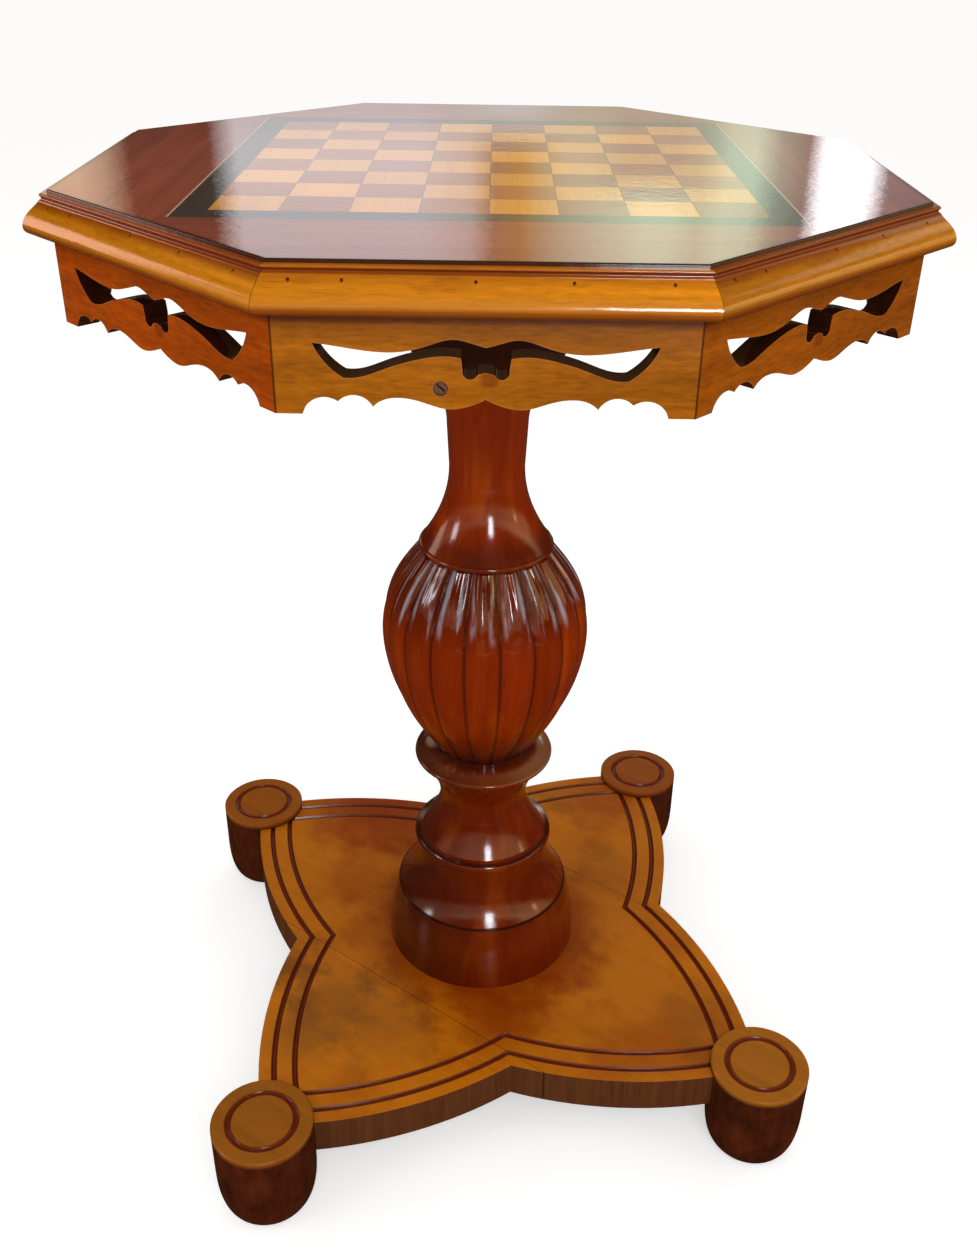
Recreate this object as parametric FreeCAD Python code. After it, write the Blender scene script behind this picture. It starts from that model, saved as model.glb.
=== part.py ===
import FreeCAD, Part
import math
import os

from FreeCAD import Vector

# Pedestal chess table with an inlaid board: an octagonal top with fretwork aprons,
# a turned column with a gadrooned bulb, and a cusped base plate on four turned feet.
# Millimetres, +Z up, the floor at zero, the column on the Z axis, the players at -Y and +Y.

# Inlaid top, from the tiles outwards
SQUARES_PER_SIDE = 8
SQUARE_WIDTH = 39.7
BORDER_WIDTH = 19.0
CORNER_MARGIN = 13.4
INLAY_THICK = 4.5
CORE_THICK = 20.5
FIELD_EDGE_ROUND = 1.0

# Edge moulding section, from the nose up to the lip
NOSE_PROJECTION = 15.5
NOSE_UNDER_RADIUS = 4.2
NOSE_SLOPE = 40.0
COVE_WIDTH = 3.4
COVE_DROP = 3.6
ARRIS_PROJECTION = 5.0
LIP_PROJECTION = 4.4
LIP_BEAD_RADIUS = 1.0
LIP_BEAD_FACE = 0.4
LIP_HOLLOW_HEIGHT = 2.6
LIP_HOLLOW_DEPTH = 1.0
LIP_DROP = 2.0

# Nails through the moulding into the core
PIN_RADIUS = 0.9
PIN_DEPTH = 18.0
PINS_ACROSS = (-89, -65, -5, 39, 84)
PIN_BELOW_INLAY = 4.0
PIN_SET = 0.6

# Aprons
APRON_HEIGHT = 55.2
APRON_THICK = 15.0
APRON_SCREW_ACROSS = -23.5
APRON_SCREW_DROP = 40.5
APRON_SCREW_HEAD_RADIUS = 4.0
APRON_SCREW_SHANK_RADIUS = 2.0
APRON_SCREW_LENGTH = 11.0
APRON_SCREW_SET = 1.5

# Glue blocks between aprons and core
GLUE_BLOCK_LEG = 15.0
GLUE_BLOCK_LENGTH = 46.0
GLUE_BLOCK_SPREAD = 110.0

# Bearer under the core, and its screws
BEARER_WIDTH = 180.0
BEARER_THICK = 28.0
BEARER_CHAMFER = 6.0
BEARER_SCREW_SPREAD = 136.0
BEARER_SCREW_HEAD_RADIUS = 4.5
BEARER_SCREW_SHANK_RADIUS = 2.25
BEARER_SCREW_LENGTH = 40.0

# Joints of the turned pieces
TENON_RADIUS = 20.0
TENON_LENGTH = 28.0
GLUE_GAP = 0.15
SOCKET_GAP = 1.0
PEDESTAL_TURN = 9.0

# Column neck: collar, waist, cup and the abacus ring under the bearer
NECK_HEIGHT = 233.0
COLLAR_RADIUS = 53.0
COLLAR_EDGE = 5.5
COLLAR_ROLL = 2.0
WAIST_RADIUS = 28.9
WAIST_HEIGHT = 68.0
THROAT_RADIUS = 30.6
THROAT_RISE = 34.0
CUP_TURN_RADIUS = 46.0
CUP_TURN_RISE = 40.0
CUP_RADIUS = 66.0
CUP_RISE = 52.0
ABACUS_RADIUS = 72.0
ABACUS_THICK = 15.0

# Gadrooned bulb
BULB_HEIGHT = 186.0
BULB_RADIUS = 83.2
BULB_WIDEST_HEIGHT = 117.0
BULB_TOP_RADIUS = 53.0
BULB_FOOT_RADIUS = 38.0
LOBES = 18
LOBE_DEPTH = 3.6
BULB_SECTIONS = 9

# Column stem: ring, bell, slender neck and saucer
STEM_HEIGHT = 100.0
RING_RADIUS = 60.3
RING_THICK = 7.5
RING_ROLL = 1.6
BELL_RADIUS = 53.0
STEM_NECK_RADIUS = 37.3
STEM_NECK_HEIGHT = 47.0
SAUCER_RADIUS = 58.6
SAUCER_LIP = 4.0
SAUCER_DISH = 7.0

# Column drum
DRUM_HEIGHT = 109.0
DRUM_RADIUS = 84.4
SHOULDER_RADIUS = 75.6
SHOULDER_HEIGHT = 59.0
SHOULDER_STEP = 1.5
DRUM_BULGE = 1.9
DRUM_NECK_RADIUS = 57.5
DRUM_NECK_FACE = 6.0

# Base plate: two convex arcs on each side meet at a cusp
PLATE_UNDERSIDE = 49.0
PLATE_THICK = 32.0
CREST_REACH = 206.0
CUSP_DEPTH = 34.5
CORNER_LENGTH = 54.0
GROOVE_INSETS = (10.0, 27.0)
GROOVE_WIDTH = 5.0
GROOVE_SLOPE = 1.6
GROOVE_DEPTH = 2.6
CENTRE_BOARD_WIDTH = 222.0

# Turned feet, set into the corners of the plate
FOOT_INSET = 3.4
FOOT_RADIUS = 40.0
FOOT_PROUD = 6.0
FOOT_SOLE_RADIUS = 25.0
FOOT_BUN_HEIGHT = 42.0
FOOT_EDGE = 1.2
FOOT_RING_RADIUS = 26.6
FOOT_RING_WIDTH = 5.4
FOOT_RING_DEPTH = 2.5
FOOT_DOWEL_RADIUS = 6.0
FOOT_DOWEL_IN_FOOT = 26.0
FOOT_DOWEL_IN_PLATE = 36.0

# Heights that follow from the stack of pieces
PLATE_TOP = PLATE_UNDERSIDE + PLATE_THICK
DRUM_TOP = PLATE_TOP + DRUM_HEIGHT
STEM_TOP = DRUM_TOP + STEM_HEIGHT
BULB_TOP = STEM_TOP + BULB_HEIGHT
NECK_TOP = BULB_TOP + NECK_HEIGHT
CORE_BOTTOM = NECK_TOP + BEARER_THICK
CORE_TOP = CORE_BOTTOM + CORE_THICK
TABLE_TOP = CORE_TOP + INLAY_THICK
FOOT_TOP = PLATE_TOP + FOOT_PROUD

# Reaches in plan that follow from the board
SIDES = 8
PER_CENT = 100
HALF_SECTOR = math.pi / SIDES
BOARD_HALF = SQUARE_WIDTH * SQUARES_PER_SIDE / 2
BORDER_HALF = BOARD_HALF + BORDER_WIDTH
TOP_HALF = BORDER_HALF * math.sqrt(2) + CORNER_MARGIN
APRON_HALF_LENGTH = TOP_HALF * math.tan(HALF_SECTOR)
SOCKET_RADIUS = TENON_RADIUS + GLUE_GAP

# Reaches of the base that follow from the crests of its arcs
CREST_ACROSS = CREST_REACH - CORNER_LENGTH
FOOT_REACH = CREST_REACH - FOOT_INSET

UP = Vector(0, 0, 1)
ORIGIN = Vector(0, 0, 0)
SIDE_NAMES = (
    "front", "front_right", "right", "back_right",
    "back", "back_left", "left", "front_left",
)
QUARTER_NAMES = ("front", "right", "back", "left")
CORNER_NAMES = ("front_right", "back_right", "back_left", "front_left")


def turned(shape, degrees):
    """Copy of a shape turned about the column's axis."""
    return shape.rotated(ORIGIN, UP, degrees)


def drawn(place, start, steps):
    """Closed face from line, arc and bend steps; place puts a drawing point in space."""
    edges = []
    here = start
    for kind, *points in steps:
        ends = [place(*here)] + [place(*point) for point in points]
        if kind == "line":
            curve = Part.LineSegment(*ends)
        elif kind == "arc":
            curve = Part.Arc(*ends)
        elif kind == "bend":
            curve = Part.BezierCurve()
            curve.setPoles(ends)
        else:
            curve = Part.BSplineCurve()
            curve.interpolate(ends)
        edges.append(curve.toShape())
        here = points[-1]
    return Part.Face(Part.Wire(edges))


def on_section(radius, height):
    """Point of a turned section: radius along X, height along Z."""
    return Vector(radius, 0, height)


def turning(start, steps):
    """Solid turned on the column's axis from a half section."""
    return drawn(on_section, start, steps).revolve(ORIGIN, UP, 360)


def prism(points, bottom, top):
    """Upright prism on a plan polygon."""
    corners = [Vector(x, y, bottom) for x, y in points]
    face = Part.Face(Part.makePolygon(corners + corners[:1]))
    return face.extrude(UP * (top - bottom))


def octagon(half_width):
    """Plan corners of an octagon with a flat side at the front."""
    reach = half_width / math.cos(HALF_SECTOR)
    angles = [HALF_SECTOR * (2 * index + 1) for index in range(SIDES)]
    return [(reach * math.cos(angle), reach * math.sin(angle)) for angle in angles]


def front_sector(reach, bottom, top):
    """Prism over the front eighth of the plan, whose two sides are the mitre planes."""
    spread = reach * math.tan(HALF_SECTOR)
    return prism([(0, 0), (-spread, -reach), (spread, -reach)], bottom, top)


def countersunk_screw(head_radius, shank_radius, length):
    """Screw along +Z, with the flat of its head at the origin."""
    head_depth = head_radius - shank_radius
    head = Part.makeCone(head_radius, shank_radius, head_depth)
    shank = Part.makeCylinder(shank_radius, length)
    return head.fuse(shank).removeSplitter()


def aimed(shape, place, direction):
    """Copy of a shape made along +Z, put at a place and aimed along a direction."""
    copy = shape.copy()
    copy.Placement = FreeCAD.Placement(place, FreeCAD.Rotation(UP, direction))
    return copy


# Inlaid top

def square_tiles(remainder):
    """Tiles of one colour, on the squares whose column and row add up to that remainder."""
    tiles = []
    for column in range(SQUARES_PER_SIDE):
        for row in range(SQUARES_PER_SIDE):
            if (column + row) % 2 == remainder:
                corner = Vector(column * SQUARE_WIDTH - BOARD_HALF, row * SQUARE_WIDTH - BOARD_HALF, CORE_TOP)
                tiles.append(Part.makeBox(SQUARE_WIDTH, SQUARE_WIDTH, INLAY_THICK, corner))
    return Part.makeCompound(tiles)


def border_strip():
    """Front strip of the dark border, mitred at both ends."""
    points = [
        (-BORDER_HALF, -BORDER_HALF), (BORDER_HALF, -BORDER_HALF),
        (BOARD_HALF, -BOARD_HALF), (-BOARD_HALF, -BOARD_HALF),
    ]
    return prism(points, CORE_TOP, TABLE_TOP)


def field_panel():
    """Front panel of the field, from the border to the table's edge, with its outer edge eased."""
    diagonal = TOP_HALF / math.sqrt(2)
    points = [
        (-APRON_HALF_LENGTH, -TOP_HALF), (APRON_HALF_LENGTH, -TOP_HALF),
        (diagonal, -diagonal), (BORDER_HALF, -BORDER_HALF),
        (-BORDER_HALF, -BORDER_HALF), (-diagonal, -diagonal),
    ]
    panel = prism(points, CORE_TOP, TABLE_TOP)
    middle = TABLE_TOP - INLAY_THICK / 2
    outer = []
    for edge in panel.Edges:
        centre = edge.CenterOfMass
        along_front = abs(centre.y + TOP_HALF) < FIELD_EDGE_ROUND
        along_corner = abs(abs(centre.x) - centre.y - TOP_HALF * math.sqrt(2)) < FIELD_EDGE_ROUND
        across = edge.BoundBox.ZLength < FIELD_EDGE_ROUND
        if centre.z > middle and across and (along_front or along_corner):
            outer.append(edge)
    return panel.makeFillet(FIELD_EDGE_ROUND, outer)


def pin_places():
    """Places of the front side's nails at the edge of the core, in hundredths of the side's half length."""
    height = CORE_TOP - PIN_BELOW_INLAY
    return [Vector(across / PER_CENT * APRON_HALF_LENGTH, -TOP_HALF, height) for across in PINS_ACROSS]


def pin_reach():
    """How far a nail's head stands from the edge of the core, punched below the cove."""
    return ARRIS_PROJECTION - PIN_SET


def moulding_pins():
    """Nails of all eight mouldings."""
    length = PIN_DEPTH + pin_reach()
    pins = []
    for index in range(SIDES):
        for place in pin_places():
            head = place - Vector(0, pin_reach(), 0)
            pin = Part.makeCylinder(PIN_RADIUS, length, head, Vector(0, 1, 0))
            pins.append(turned(pin, index * 360 / SIDES))
    return Part.makeCompound(pins)


def top_core():
    """Octagonal core with holes for the moulding's nails and the bearer's screws."""
    core = prism(octagon(TOP_HALF), CORE_BOTTOM, CORE_TOP)
    return core.cut(moulding_pins()).cut(bearer_screws())


def edge_moulding():
    """Front length of moulding: a nose, a cove, a hollow and a lip bead, mitred at both ends."""
    diagonal = math.sqrt(0.5)
    lip_top = TABLE_TOP - LIP_DROP
    bead_side = lip_top - LIP_BEAD_RADIUS
    bead_under = bead_side - LIP_BEAD_FACE
    bead_out = LIP_PROJECTION - LIP_BEAD_RADIUS * (1 - diagonal)
    bead_height = bead_side + LIP_BEAD_RADIUS * diagonal
    arris = bead_under - LIP_HOLLOW_HEIGHT
    hollow_middle = (LIP_PROJECTION - LIP_HOLLOW_DEPTH, (bead_under + arris) / 2)
    nose_side = CORE_BOTTOM + NOSE_UNDER_RADIUS
    under_out = NOSE_PROJECTION - NOSE_UNDER_RADIUS * (1 - diagonal)
    under_height = CORE_BOTTOM + NOSE_UNDER_RADIUS * (1 - diagonal)
    # The cove starts upright, runs into the slope and turns upright again at the nose
    slope = math.tan(math.radians(NOSE_SLOPE))
    turn_out = ARRIS_PROJECTION + COVE_WIDTH
    turn_height = arris - COVE_DROP
    cove_bend = (ARRIS_PROJECTION, turn_height + COVE_WIDTH * slope)
    nose_bend = (NOSE_PROJECTION, turn_height - (NOSE_PROJECTION - turn_out) * slope)
    reach = TOP_HALF + NOSE_PROJECTION
    half_length = reach * math.tan(HALF_SECTOR)

    def on_end(out, height):
        return Vector(-half_length, -TOP_HALF - out, height)

    section = drawn(on_end, (0, CORE_BOTTOM), [
        ("line", (NOSE_PROJECTION - NOSE_UNDER_RADIUS, CORE_BOTTOM)),
        ("arc", (under_out, under_height), (NOSE_PROJECTION, nose_side)),
        ("bend", nose_bend, (turn_out, turn_height)),
        ("bend", cove_bend, (ARRIS_PROJECTION, arris)),
        ("arc", hollow_middle, (LIP_PROJECTION, bead_under)),
        ("line", (LIP_PROJECTION, bead_side)),
        ("arc", (bead_out, bead_height), (LIP_PROJECTION - LIP_BEAD_RADIUS, lip_top)),
        ("line", (0, lip_top)),
        ("line", (0, CORE_BOTTOM)),
    ])
    length = section.extrude(Vector(2 * half_length, 0, 0))
    mitred = length.common(front_sector(reach, CORE_BOTTOM, TABLE_TOP))
    for place in pin_places():
        start = place + Vector(0, PIN_DEPTH, 0)
        hole = Part.makeCylinder(PIN_RADIUS, PIN_DEPTH + NOSE_PROJECTION, start, Vector(0, -1, 0))
        mitred = mitred.cut(hole)
    return mitred


# Aprons

def on_fret(across, drop):
    """Point on the front face of the front apron, in hundredths of its half length and of its height."""
    along = across / PER_CENT * APRON_HALF_LENGTH
    return Vector(along, -TOP_HALF, CORE_BOTTOM - drop / PER_CENT * APRON_HEIGHT)


def mirrored_steps(start, steps):
    """The same steps mirrored left to right and walked backwards, back to the start."""
    corners = [start] + [points[-1] for kind, *points in steps]
    mirrored = []
    for (kind, *points), goal in zip(reversed(steps), reversed(corners[:-1])):
        route = list(reversed(points[:-1])) + [goal]
        mirrored.append((kind, *[(-across, drop) for across, drop in route]))
    return mirrored


def apron_outline():
    """Apron board: a flat top and feet, and a scalloped lower edge with a pointed notch."""
    start = (0, 83.5)
    half = [
        ("curve", (9.4, 91.3), (18.2, 93.5), (29.6, 87.3), (39.2, 83.2), (47.4, 84.6), (53.5, 92.2)),
        ("arc", (61.5, 81.0), (70.0, 87.3)),
        ("arc", (79.5, 84.1), (87.1, 100)),
        ("line", (100, 100)),
        ("line", (100, 0)),
        ("line", (0, 0)),
    ]
    return drawn(on_fret, start, half + mirrored_steps(start, half))


def apron_piercing():
    """The long scroll: two horn shaped ends, and a cusped drop in the middle."""
    start = (0, 33.7)
    half = [
        ("curve", (6.4, 30.1), (14.6, 26.3), (27.3, 32.6), (41.0, 38.9), (56.5, 38.0), (80.8, 31.0)),
        ("arc", (74.4, 51.6), (67.0, 63.8)),
        ("curve", (61.1, 63.8), (47.4, 54.9), (32.8, 46.0), (19.1, 42.2), (11.8, 43.8)),
        ("line", (11.0, 55.3)),
        ("arc", (8.4, 63.9), (4.1, 59.8)),
        ("bend", (1.8, 57.6), (0, 57.8)),
    ]
    return drawn(on_fret, start, half + mirrored_steps(start, half))


def fret_apron():
    """Front apron, mitred at both ends."""
    depth = Vector(0, APRON_THICK, 0)
    board = apron_outline().extrude(depth)
    opening = apron_piercing().extrude(depth)
    sector = front_sector(TOP_HALF, CORE_BOTTOM - APRON_HEIGHT, CORE_BOTTOM)
    return board.cut(opening).common(sector)


def apron_screw_mouth():
    """Where the screw's axis leaves the front apron's face."""
    return Vector(APRON_SCREW_ACROSS, -TOP_HALF, CORE_BOTTOM - APRON_SCREW_DROP)


def front_apron_screw():
    """Countersunk screw in the front apron, set a little below its face."""
    screw = countersunk_screw(APRON_SCREW_HEAD_RADIUS, APRON_SCREW_SHANK_RADIUS, APRON_SCREW_LENGTH)
    return aimed(screw, apron_screw_mouth() + Vector(0, APRON_SCREW_SET, 0), Vector(0, 1, 0))


def front_apron():
    """The front apron has the screw and the round recess over its head."""
    recess = Part.makeCylinder(APRON_SCREW_HEAD_RADIUS, APRON_SCREW_SET, apron_screw_mouth(), Vector(0, 1, 0))
    return fret_apron().cut(front_apron_screw()).cut(recess)


def glue_blocks():
    """Three-cornered blocks in the angle between each apron and the core, two to an apron."""
    inner = TOP_HALF - APRON_THICK
    start = -GLUE_BLOCK_LENGTH / 2
    corners = [
        Vector(start, -inner, CORE_BOTTOM),
        Vector(start, -inner + GLUE_BLOCK_LEG, CORE_BOTTOM),
        Vector(start, -inner, CORE_BOTTOM - GLUE_BLOCK_LEG),
    ]
    block = Part.Face(Part.makePolygon(corners + corners[:1])).extrude(Vector(GLUE_BLOCK_LENGTH, 0, 0))
    blocks = []
    for index in range(SIDES):
        for side in (-1, 1):
            shifted = block.translated(Vector(side * GLUE_BLOCK_SPREAD / 2, 0, 0))
            blocks.append(turned(shifted, index * 360 / SIDES))
    return Part.makeCompound(blocks)


# Bearer and column

def bearer_screws():
    """Screws up through the bearer's corners into the core."""
    screw = countersunk_screw(BEARER_SCREW_HEAD_RADIUS, BEARER_SCREW_SHANK_RADIUS, BEARER_SCREW_LENGTH)
    half = BEARER_SCREW_SPREAD / 2
    screws = [screw.translated(Vector(x, y, NECK_TOP)) for x in (-half, half) for y in (-half, half)]
    return turned(Part.makeCompound(screws), PEDESTAL_TURN)


def top_bearer():
    """Square block with eased lower edges and a socket for the column's top tenon."""
    half = BEARER_WIDTH / 2
    block = Part.makeBox(BEARER_WIDTH, BEARER_WIDTH, BEARER_THICK, Vector(-half, -half, NECK_TOP))
    lower = [edge for edge in block.Edges if edge.BoundBox.ZMax < NECK_TOP + BEARER_CHAMFER]
    block = block.makeChamfer(BEARER_CHAMFER, lower)
    socket = Part.makeCylinder(SOCKET_RADIUS, BEARER_THICK, Vector(0, 0, NECK_TOP))
    return turned(block.cut(socket), PEDESTAL_TURN).cut(bearer_screws())


def column_neck():
    """Turned neck: lower tenon, collar, waist, cup, abacus ring and upper tenon."""
    foot = BULB_TOP - TENON_LENGTH
    head = CORE_BOTTOM - SOCKET_GAP
    collar_top = BULB_TOP + COLLAR_EDGE
    waist = BULB_TOP + WAIST_HEIGHT
    throat = waist + THROAT_RISE
    cup_turn = throat + CUP_TURN_RISE
    cup_top = cup_turn + CUP_RISE
    abacus = NECK_TOP - ABACUS_THICK
    collar_shoulder = COLLAR_RADIUS - COLLAR_ROLL
    return turning((0, foot), [
        ("line", (TENON_RADIUS, foot)),
        ("line", (TENON_RADIUS, BULB_TOP)),
        ("line", (collar_shoulder, BULB_TOP)),
        ("arc", (COLLAR_RADIUS, (BULB_TOP + collar_top) / 2), (collar_shoulder, collar_top)),
        ("bend", (WAIST_RADIUS, (collar_top + waist) / 2), (WAIST_RADIUS, waist)),
        ("line", (THROAT_RADIUS, throat)),
        ("bend", (THROAT_RADIUS, (throat + cup_turn) / 2), (CUP_TURN_RADIUS, cup_turn)),
        ("bend", (CUP_RADIUS, (cup_turn + cup_top) / 2), (CUP_RADIUS, cup_top)),
        ("line", (CUP_RADIUS, abacus)),
        ("line", (ABACUS_RADIUS, abacus)),
        ("line", (ABACUS_RADIUS, NECK_TOP)),
        ("line", (TENON_RADIUS, NECK_TOP)),
        ("line", (TENON_RADIUS, head)),
        ("line", (0, head)),
        ("line", (0, foot)),
    ])


def lobe_crest(height):
    """Radius of the bulb over its lobes, a parabola above and below the widest ring."""
    if height > BULB_WIDEST_HEIGHT:
        share = (height - BULB_WIDEST_HEIGHT) / (BULB_HEIGHT - BULB_WIDEST_HEIGHT)
        return BULB_RADIUS - (BULB_RADIUS - BULB_TOP_RADIUS) * share ** 2
    share = (BULB_WIDEST_HEIGHT - height) / BULB_WIDEST_HEIGHT
    return BULB_RADIUS - (BULB_RADIUS - BULB_FOOT_RADIUS) * share ** 2


def lobed_ring(height):
    """Closed wire of arcs, one to a lobe, with a groove at the base plate's front direction."""
    crest = lobe_crest(height)
    groove = crest * (1 - LOBE_DEPTH / BULB_RADIUS)
    step = 2 * math.pi / LOBES
    front = -math.pi / 2
    level = STEM_TOP + height

    def at(radius, angle):
        return Vector(radius * math.cos(angle), radius * math.sin(angle), level)

    arcs = []
    for index in range(LOBES):
        angle = front + index * step
        arcs.append(Part.Arc(at(groove, angle), at(crest, angle + step / 2), at(groove, angle + step)))
    return Part.Wire([arc.toShape() for arc in arcs])


def gadroon_bulb():
    """Carved bulb: lobed rings lofted from foot to collar, a socket above and a tenon below."""
    last = BULB_SECTIONS - 1
    rings = [lobed_ring(BULB_HEIGHT * index / last) for index in range(BULB_SECTIONS)]
    body = Part.makeLoft(rings, True, False)
    depth = TENON_LENGTH + SOCKET_GAP
    socket = Part.makeCylinder(SOCKET_RADIUS, depth, Vector(0, 0, BULB_TOP - depth))
    tenon = Part.makeCylinder(TENON_RADIUS, TENON_LENGTH, Vector(0, 0, STEM_TOP - TENON_LENGTH))
    return turned(body.cut(socket).fuse(tenon), PEDESTAL_TURN)


def column_stem():
    """Turned stem: a tenon through the drum into the plate, a ring, a bell and a saucer."""
    foot = PLATE_TOP - TENON_LENGTH
    ring_top = DRUM_TOP + RING_THICK
    ring_middle = (DRUM_TOP + ring_top) / 2
    ring_shoulder = RING_RADIUS - RING_ROLL
    bell = ring_top + RING_ROLL
    slender = DRUM_TOP + STEM_NECK_HEIGHT
    lip_top = STEM_TOP - SAUCER_DISH
    lip_under = lip_top - SAUCER_LIP
    lip_shoulder = SAUCER_RADIUS - SAUCER_LIP / 4
    socket_floor = STEM_TOP - TENON_LENGTH - SOCKET_GAP
    return turning((0, foot), [
        ("line", (TENON_RADIUS, foot)),
        ("line", (TENON_RADIUS, DRUM_TOP)),
        ("line", (ring_shoulder, DRUM_TOP)),
        ("arc", (RING_RADIUS, ring_middle), (ring_shoulder, ring_top)),
        ("line", (BELL_RADIUS, bell)),
        ("bend", (STEM_NECK_RADIUS, (2 * slender + bell) / 3), (STEM_NECK_RADIUS, slender)),
        ("bend", (STEM_NECK_RADIUS, (slender + lip_under) / 2), (lip_shoulder, lip_under)),
        ("arc", (SAUCER_RADIUS, (lip_under + lip_top) / 2), (lip_shoulder, lip_top)),
        ("bend", ((lip_shoulder + BULB_FOOT_RADIUS) / 2, lip_top), (BULB_FOOT_RADIUS, STEM_TOP)),
        ("line", (SOCKET_RADIUS, STEM_TOP)),
        ("line", (SOCKET_RADIUS, socket_floor)),
        ("line", (0, socket_floor)),
        ("line", (0, foot)),
    ])


def column_drum():
    """Turned drum with a swelling wall, a stepped shoulder and a cove up to the ring, bored through."""
    shoulder = PLATE_TOP + SHOULDER_HEIGHT
    step = shoulder + SHOULDER_STEP
    cove_top = DRUM_TOP - DRUM_NECK_FACE
    wall_middle = ((DRUM_RADIUS + SHOULDER_RADIUS) / 2 + DRUM_BULGE, PLATE_TOP + SHOULDER_HEIGHT / 2)
    return turning((SOCKET_RADIUS, PLATE_TOP), [
        ("line", (DRUM_RADIUS, PLATE_TOP)),
        ("arc", wall_middle, (SHOULDER_RADIUS, shoulder)),
        ("line", (SHOULDER_RADIUS - SHOULDER_STEP, shoulder)),
        ("line", (SHOULDER_RADIUS - SHOULDER_STEP, step)),
        ("bend", (DRUM_NECK_RADIUS, (step + cove_top) / 2), (DRUM_NECK_RADIUS, cove_top)),
        ("line", (DRUM_NECK_RADIUS, DRUM_TOP)),
        ("line", (SOCKET_RADIUS, DRUM_TOP)),
        ("line", (SOCKET_RADIUS, PLATE_TOP)),
    ])


# Base

def plate_wire(inset, height):
    """Outline of the plate, or a line that runs inside it by an even inset."""
    full = (CREST_ACROSS ** 2 + CUSP_DEPTH ** 2) / (2 * CUSP_DEPTH)
    radius = full - inset
    centre_y = full - CREST_REACH
    cusp = Vector(0, centre_y - math.sqrt(radius ** 2 - CREST_ACROSS ** 2), height)
    middle = (CREST_ACROSS - centre_y) / 2
    offset = (CREST_ACROSS + centre_y) / 2
    corner_reach = middle + math.sqrt(radius ** 2 / 2 - offset ** 2)
    corner = Vector(corner_reach, -corner_reach, height)
    chord = (cusp + corner) / 2 - Vector(CREST_ACROSS, centre_y, height)
    bulge = Vector(CREST_ACROSS, centre_y, height) + chord * (radius / chord.Length)
    half_side = Part.Arc(cusp, bulge, corner).toShape()
    across = half_side.mirror(ORIGIN, Vector(1, 0, 0))
    edges = []
    for index in range(4):
        edges.append(turned(half_side, index * 90))
        edges.append(turned(across, index * 90))
    return Part.Wire(Part.__sortEdges__(edges))


def plate_groove(inset):
    """Carved groove with sloping walls that follows the outline."""
    floor = PLATE_TOP - GROOVE_DEPTH
    outer = Part.makeLoft([plate_wire(inset + GROOVE_SLOPE, floor), plate_wire(inset, PLATE_TOP)], True, True)
    inner_top = inset + GROOVE_WIDTH
    inner = Part.makeLoft([plate_wire(inner_top - GROOVE_SLOPE, floor), plate_wire(inner_top, PLATE_TOP)], True, True)
    return outer.cut(inner)


def foot_centres():
    """Places of the feet on the floor, front right first, before the pedestal is turned."""
    reach = FOOT_REACH
    return [Vector(reach, -reach, 0), Vector(reach, reach, 0), Vector(-reach, reach, 0), Vector(-reach, -reach, 0)]


def base_plate():
    """Whole plate, grooved, with a seat for each foot, and bored for the column and the dowels."""
    plate = Part.Face(plate_wire(0, PLATE_UNDERSIDE)).extrude(UP * PLATE_THICK)
    for inset in GROOVE_INSETS:
        plate = plate.cut(plate_groove(inset))
    for centre in foot_centres():
        seat = Part.makeCylinder(FOOT_RADIUS + GLUE_GAP, FOOT_TOP, centre)
        plate = plate.cut(seat)
    depth = TENON_LENGTH + SOCKET_GAP
    socket = Part.makeCylinder(SOCKET_RADIUS, depth, Vector(0, 0, PLATE_TOP - depth))
    return plate.cut(socket).cut(dowels_on_diagonals(GLUE_GAP))


def base_boards():
    """The plate cut along its two glue lines, which run beside the front right diagonal."""
    plate = base_plate()
    reach = 2 * CREST_REACH
    half = CENTRE_BOARD_WIDTH / 2
    strip = Part.makeBox(2 * reach, CENTRE_BOARD_WIDTH, FOOT_TOP, Vector(-reach, -half, 0))
    near = Part.makeBox(2 * reach, reach, FOOT_TOP, Vector(-reach, -half - reach, 0))
    far = Part.makeBox(2 * reach, reach, FOOT_TOP, Vector(-reach, half, 0))
    boards = {"centre": strip, "front_left": near, "back_right": far}
    return {name: turned(plate.common(turned(box, -45)), PEDESTAL_TURN) for name, box in boards.items()}


def dowels_on_diagonals(gap):
    """One dowel on each diagonal, at half the plate's thickness, from the foot into the plate."""
    height = PLATE_UNDERSIDE + PLATE_THICK / 2
    dowels = []
    for centre in foot_centres():
        inward = Vector(-centre.x, -centre.y, 0).normalize()
        start = centre + inward * (FOOT_RADIUS - FOOT_DOWEL_IN_FOOT) + Vector(0, 0, height)
        length = FOOT_DOWEL_IN_FOOT + FOOT_DOWEL_IN_PLATE
        dowels.append(Part.makeCylinder(FOOT_DOWEL_RADIUS + gap, length, start, inward))
    return Part.makeCompound(dowels)


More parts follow.
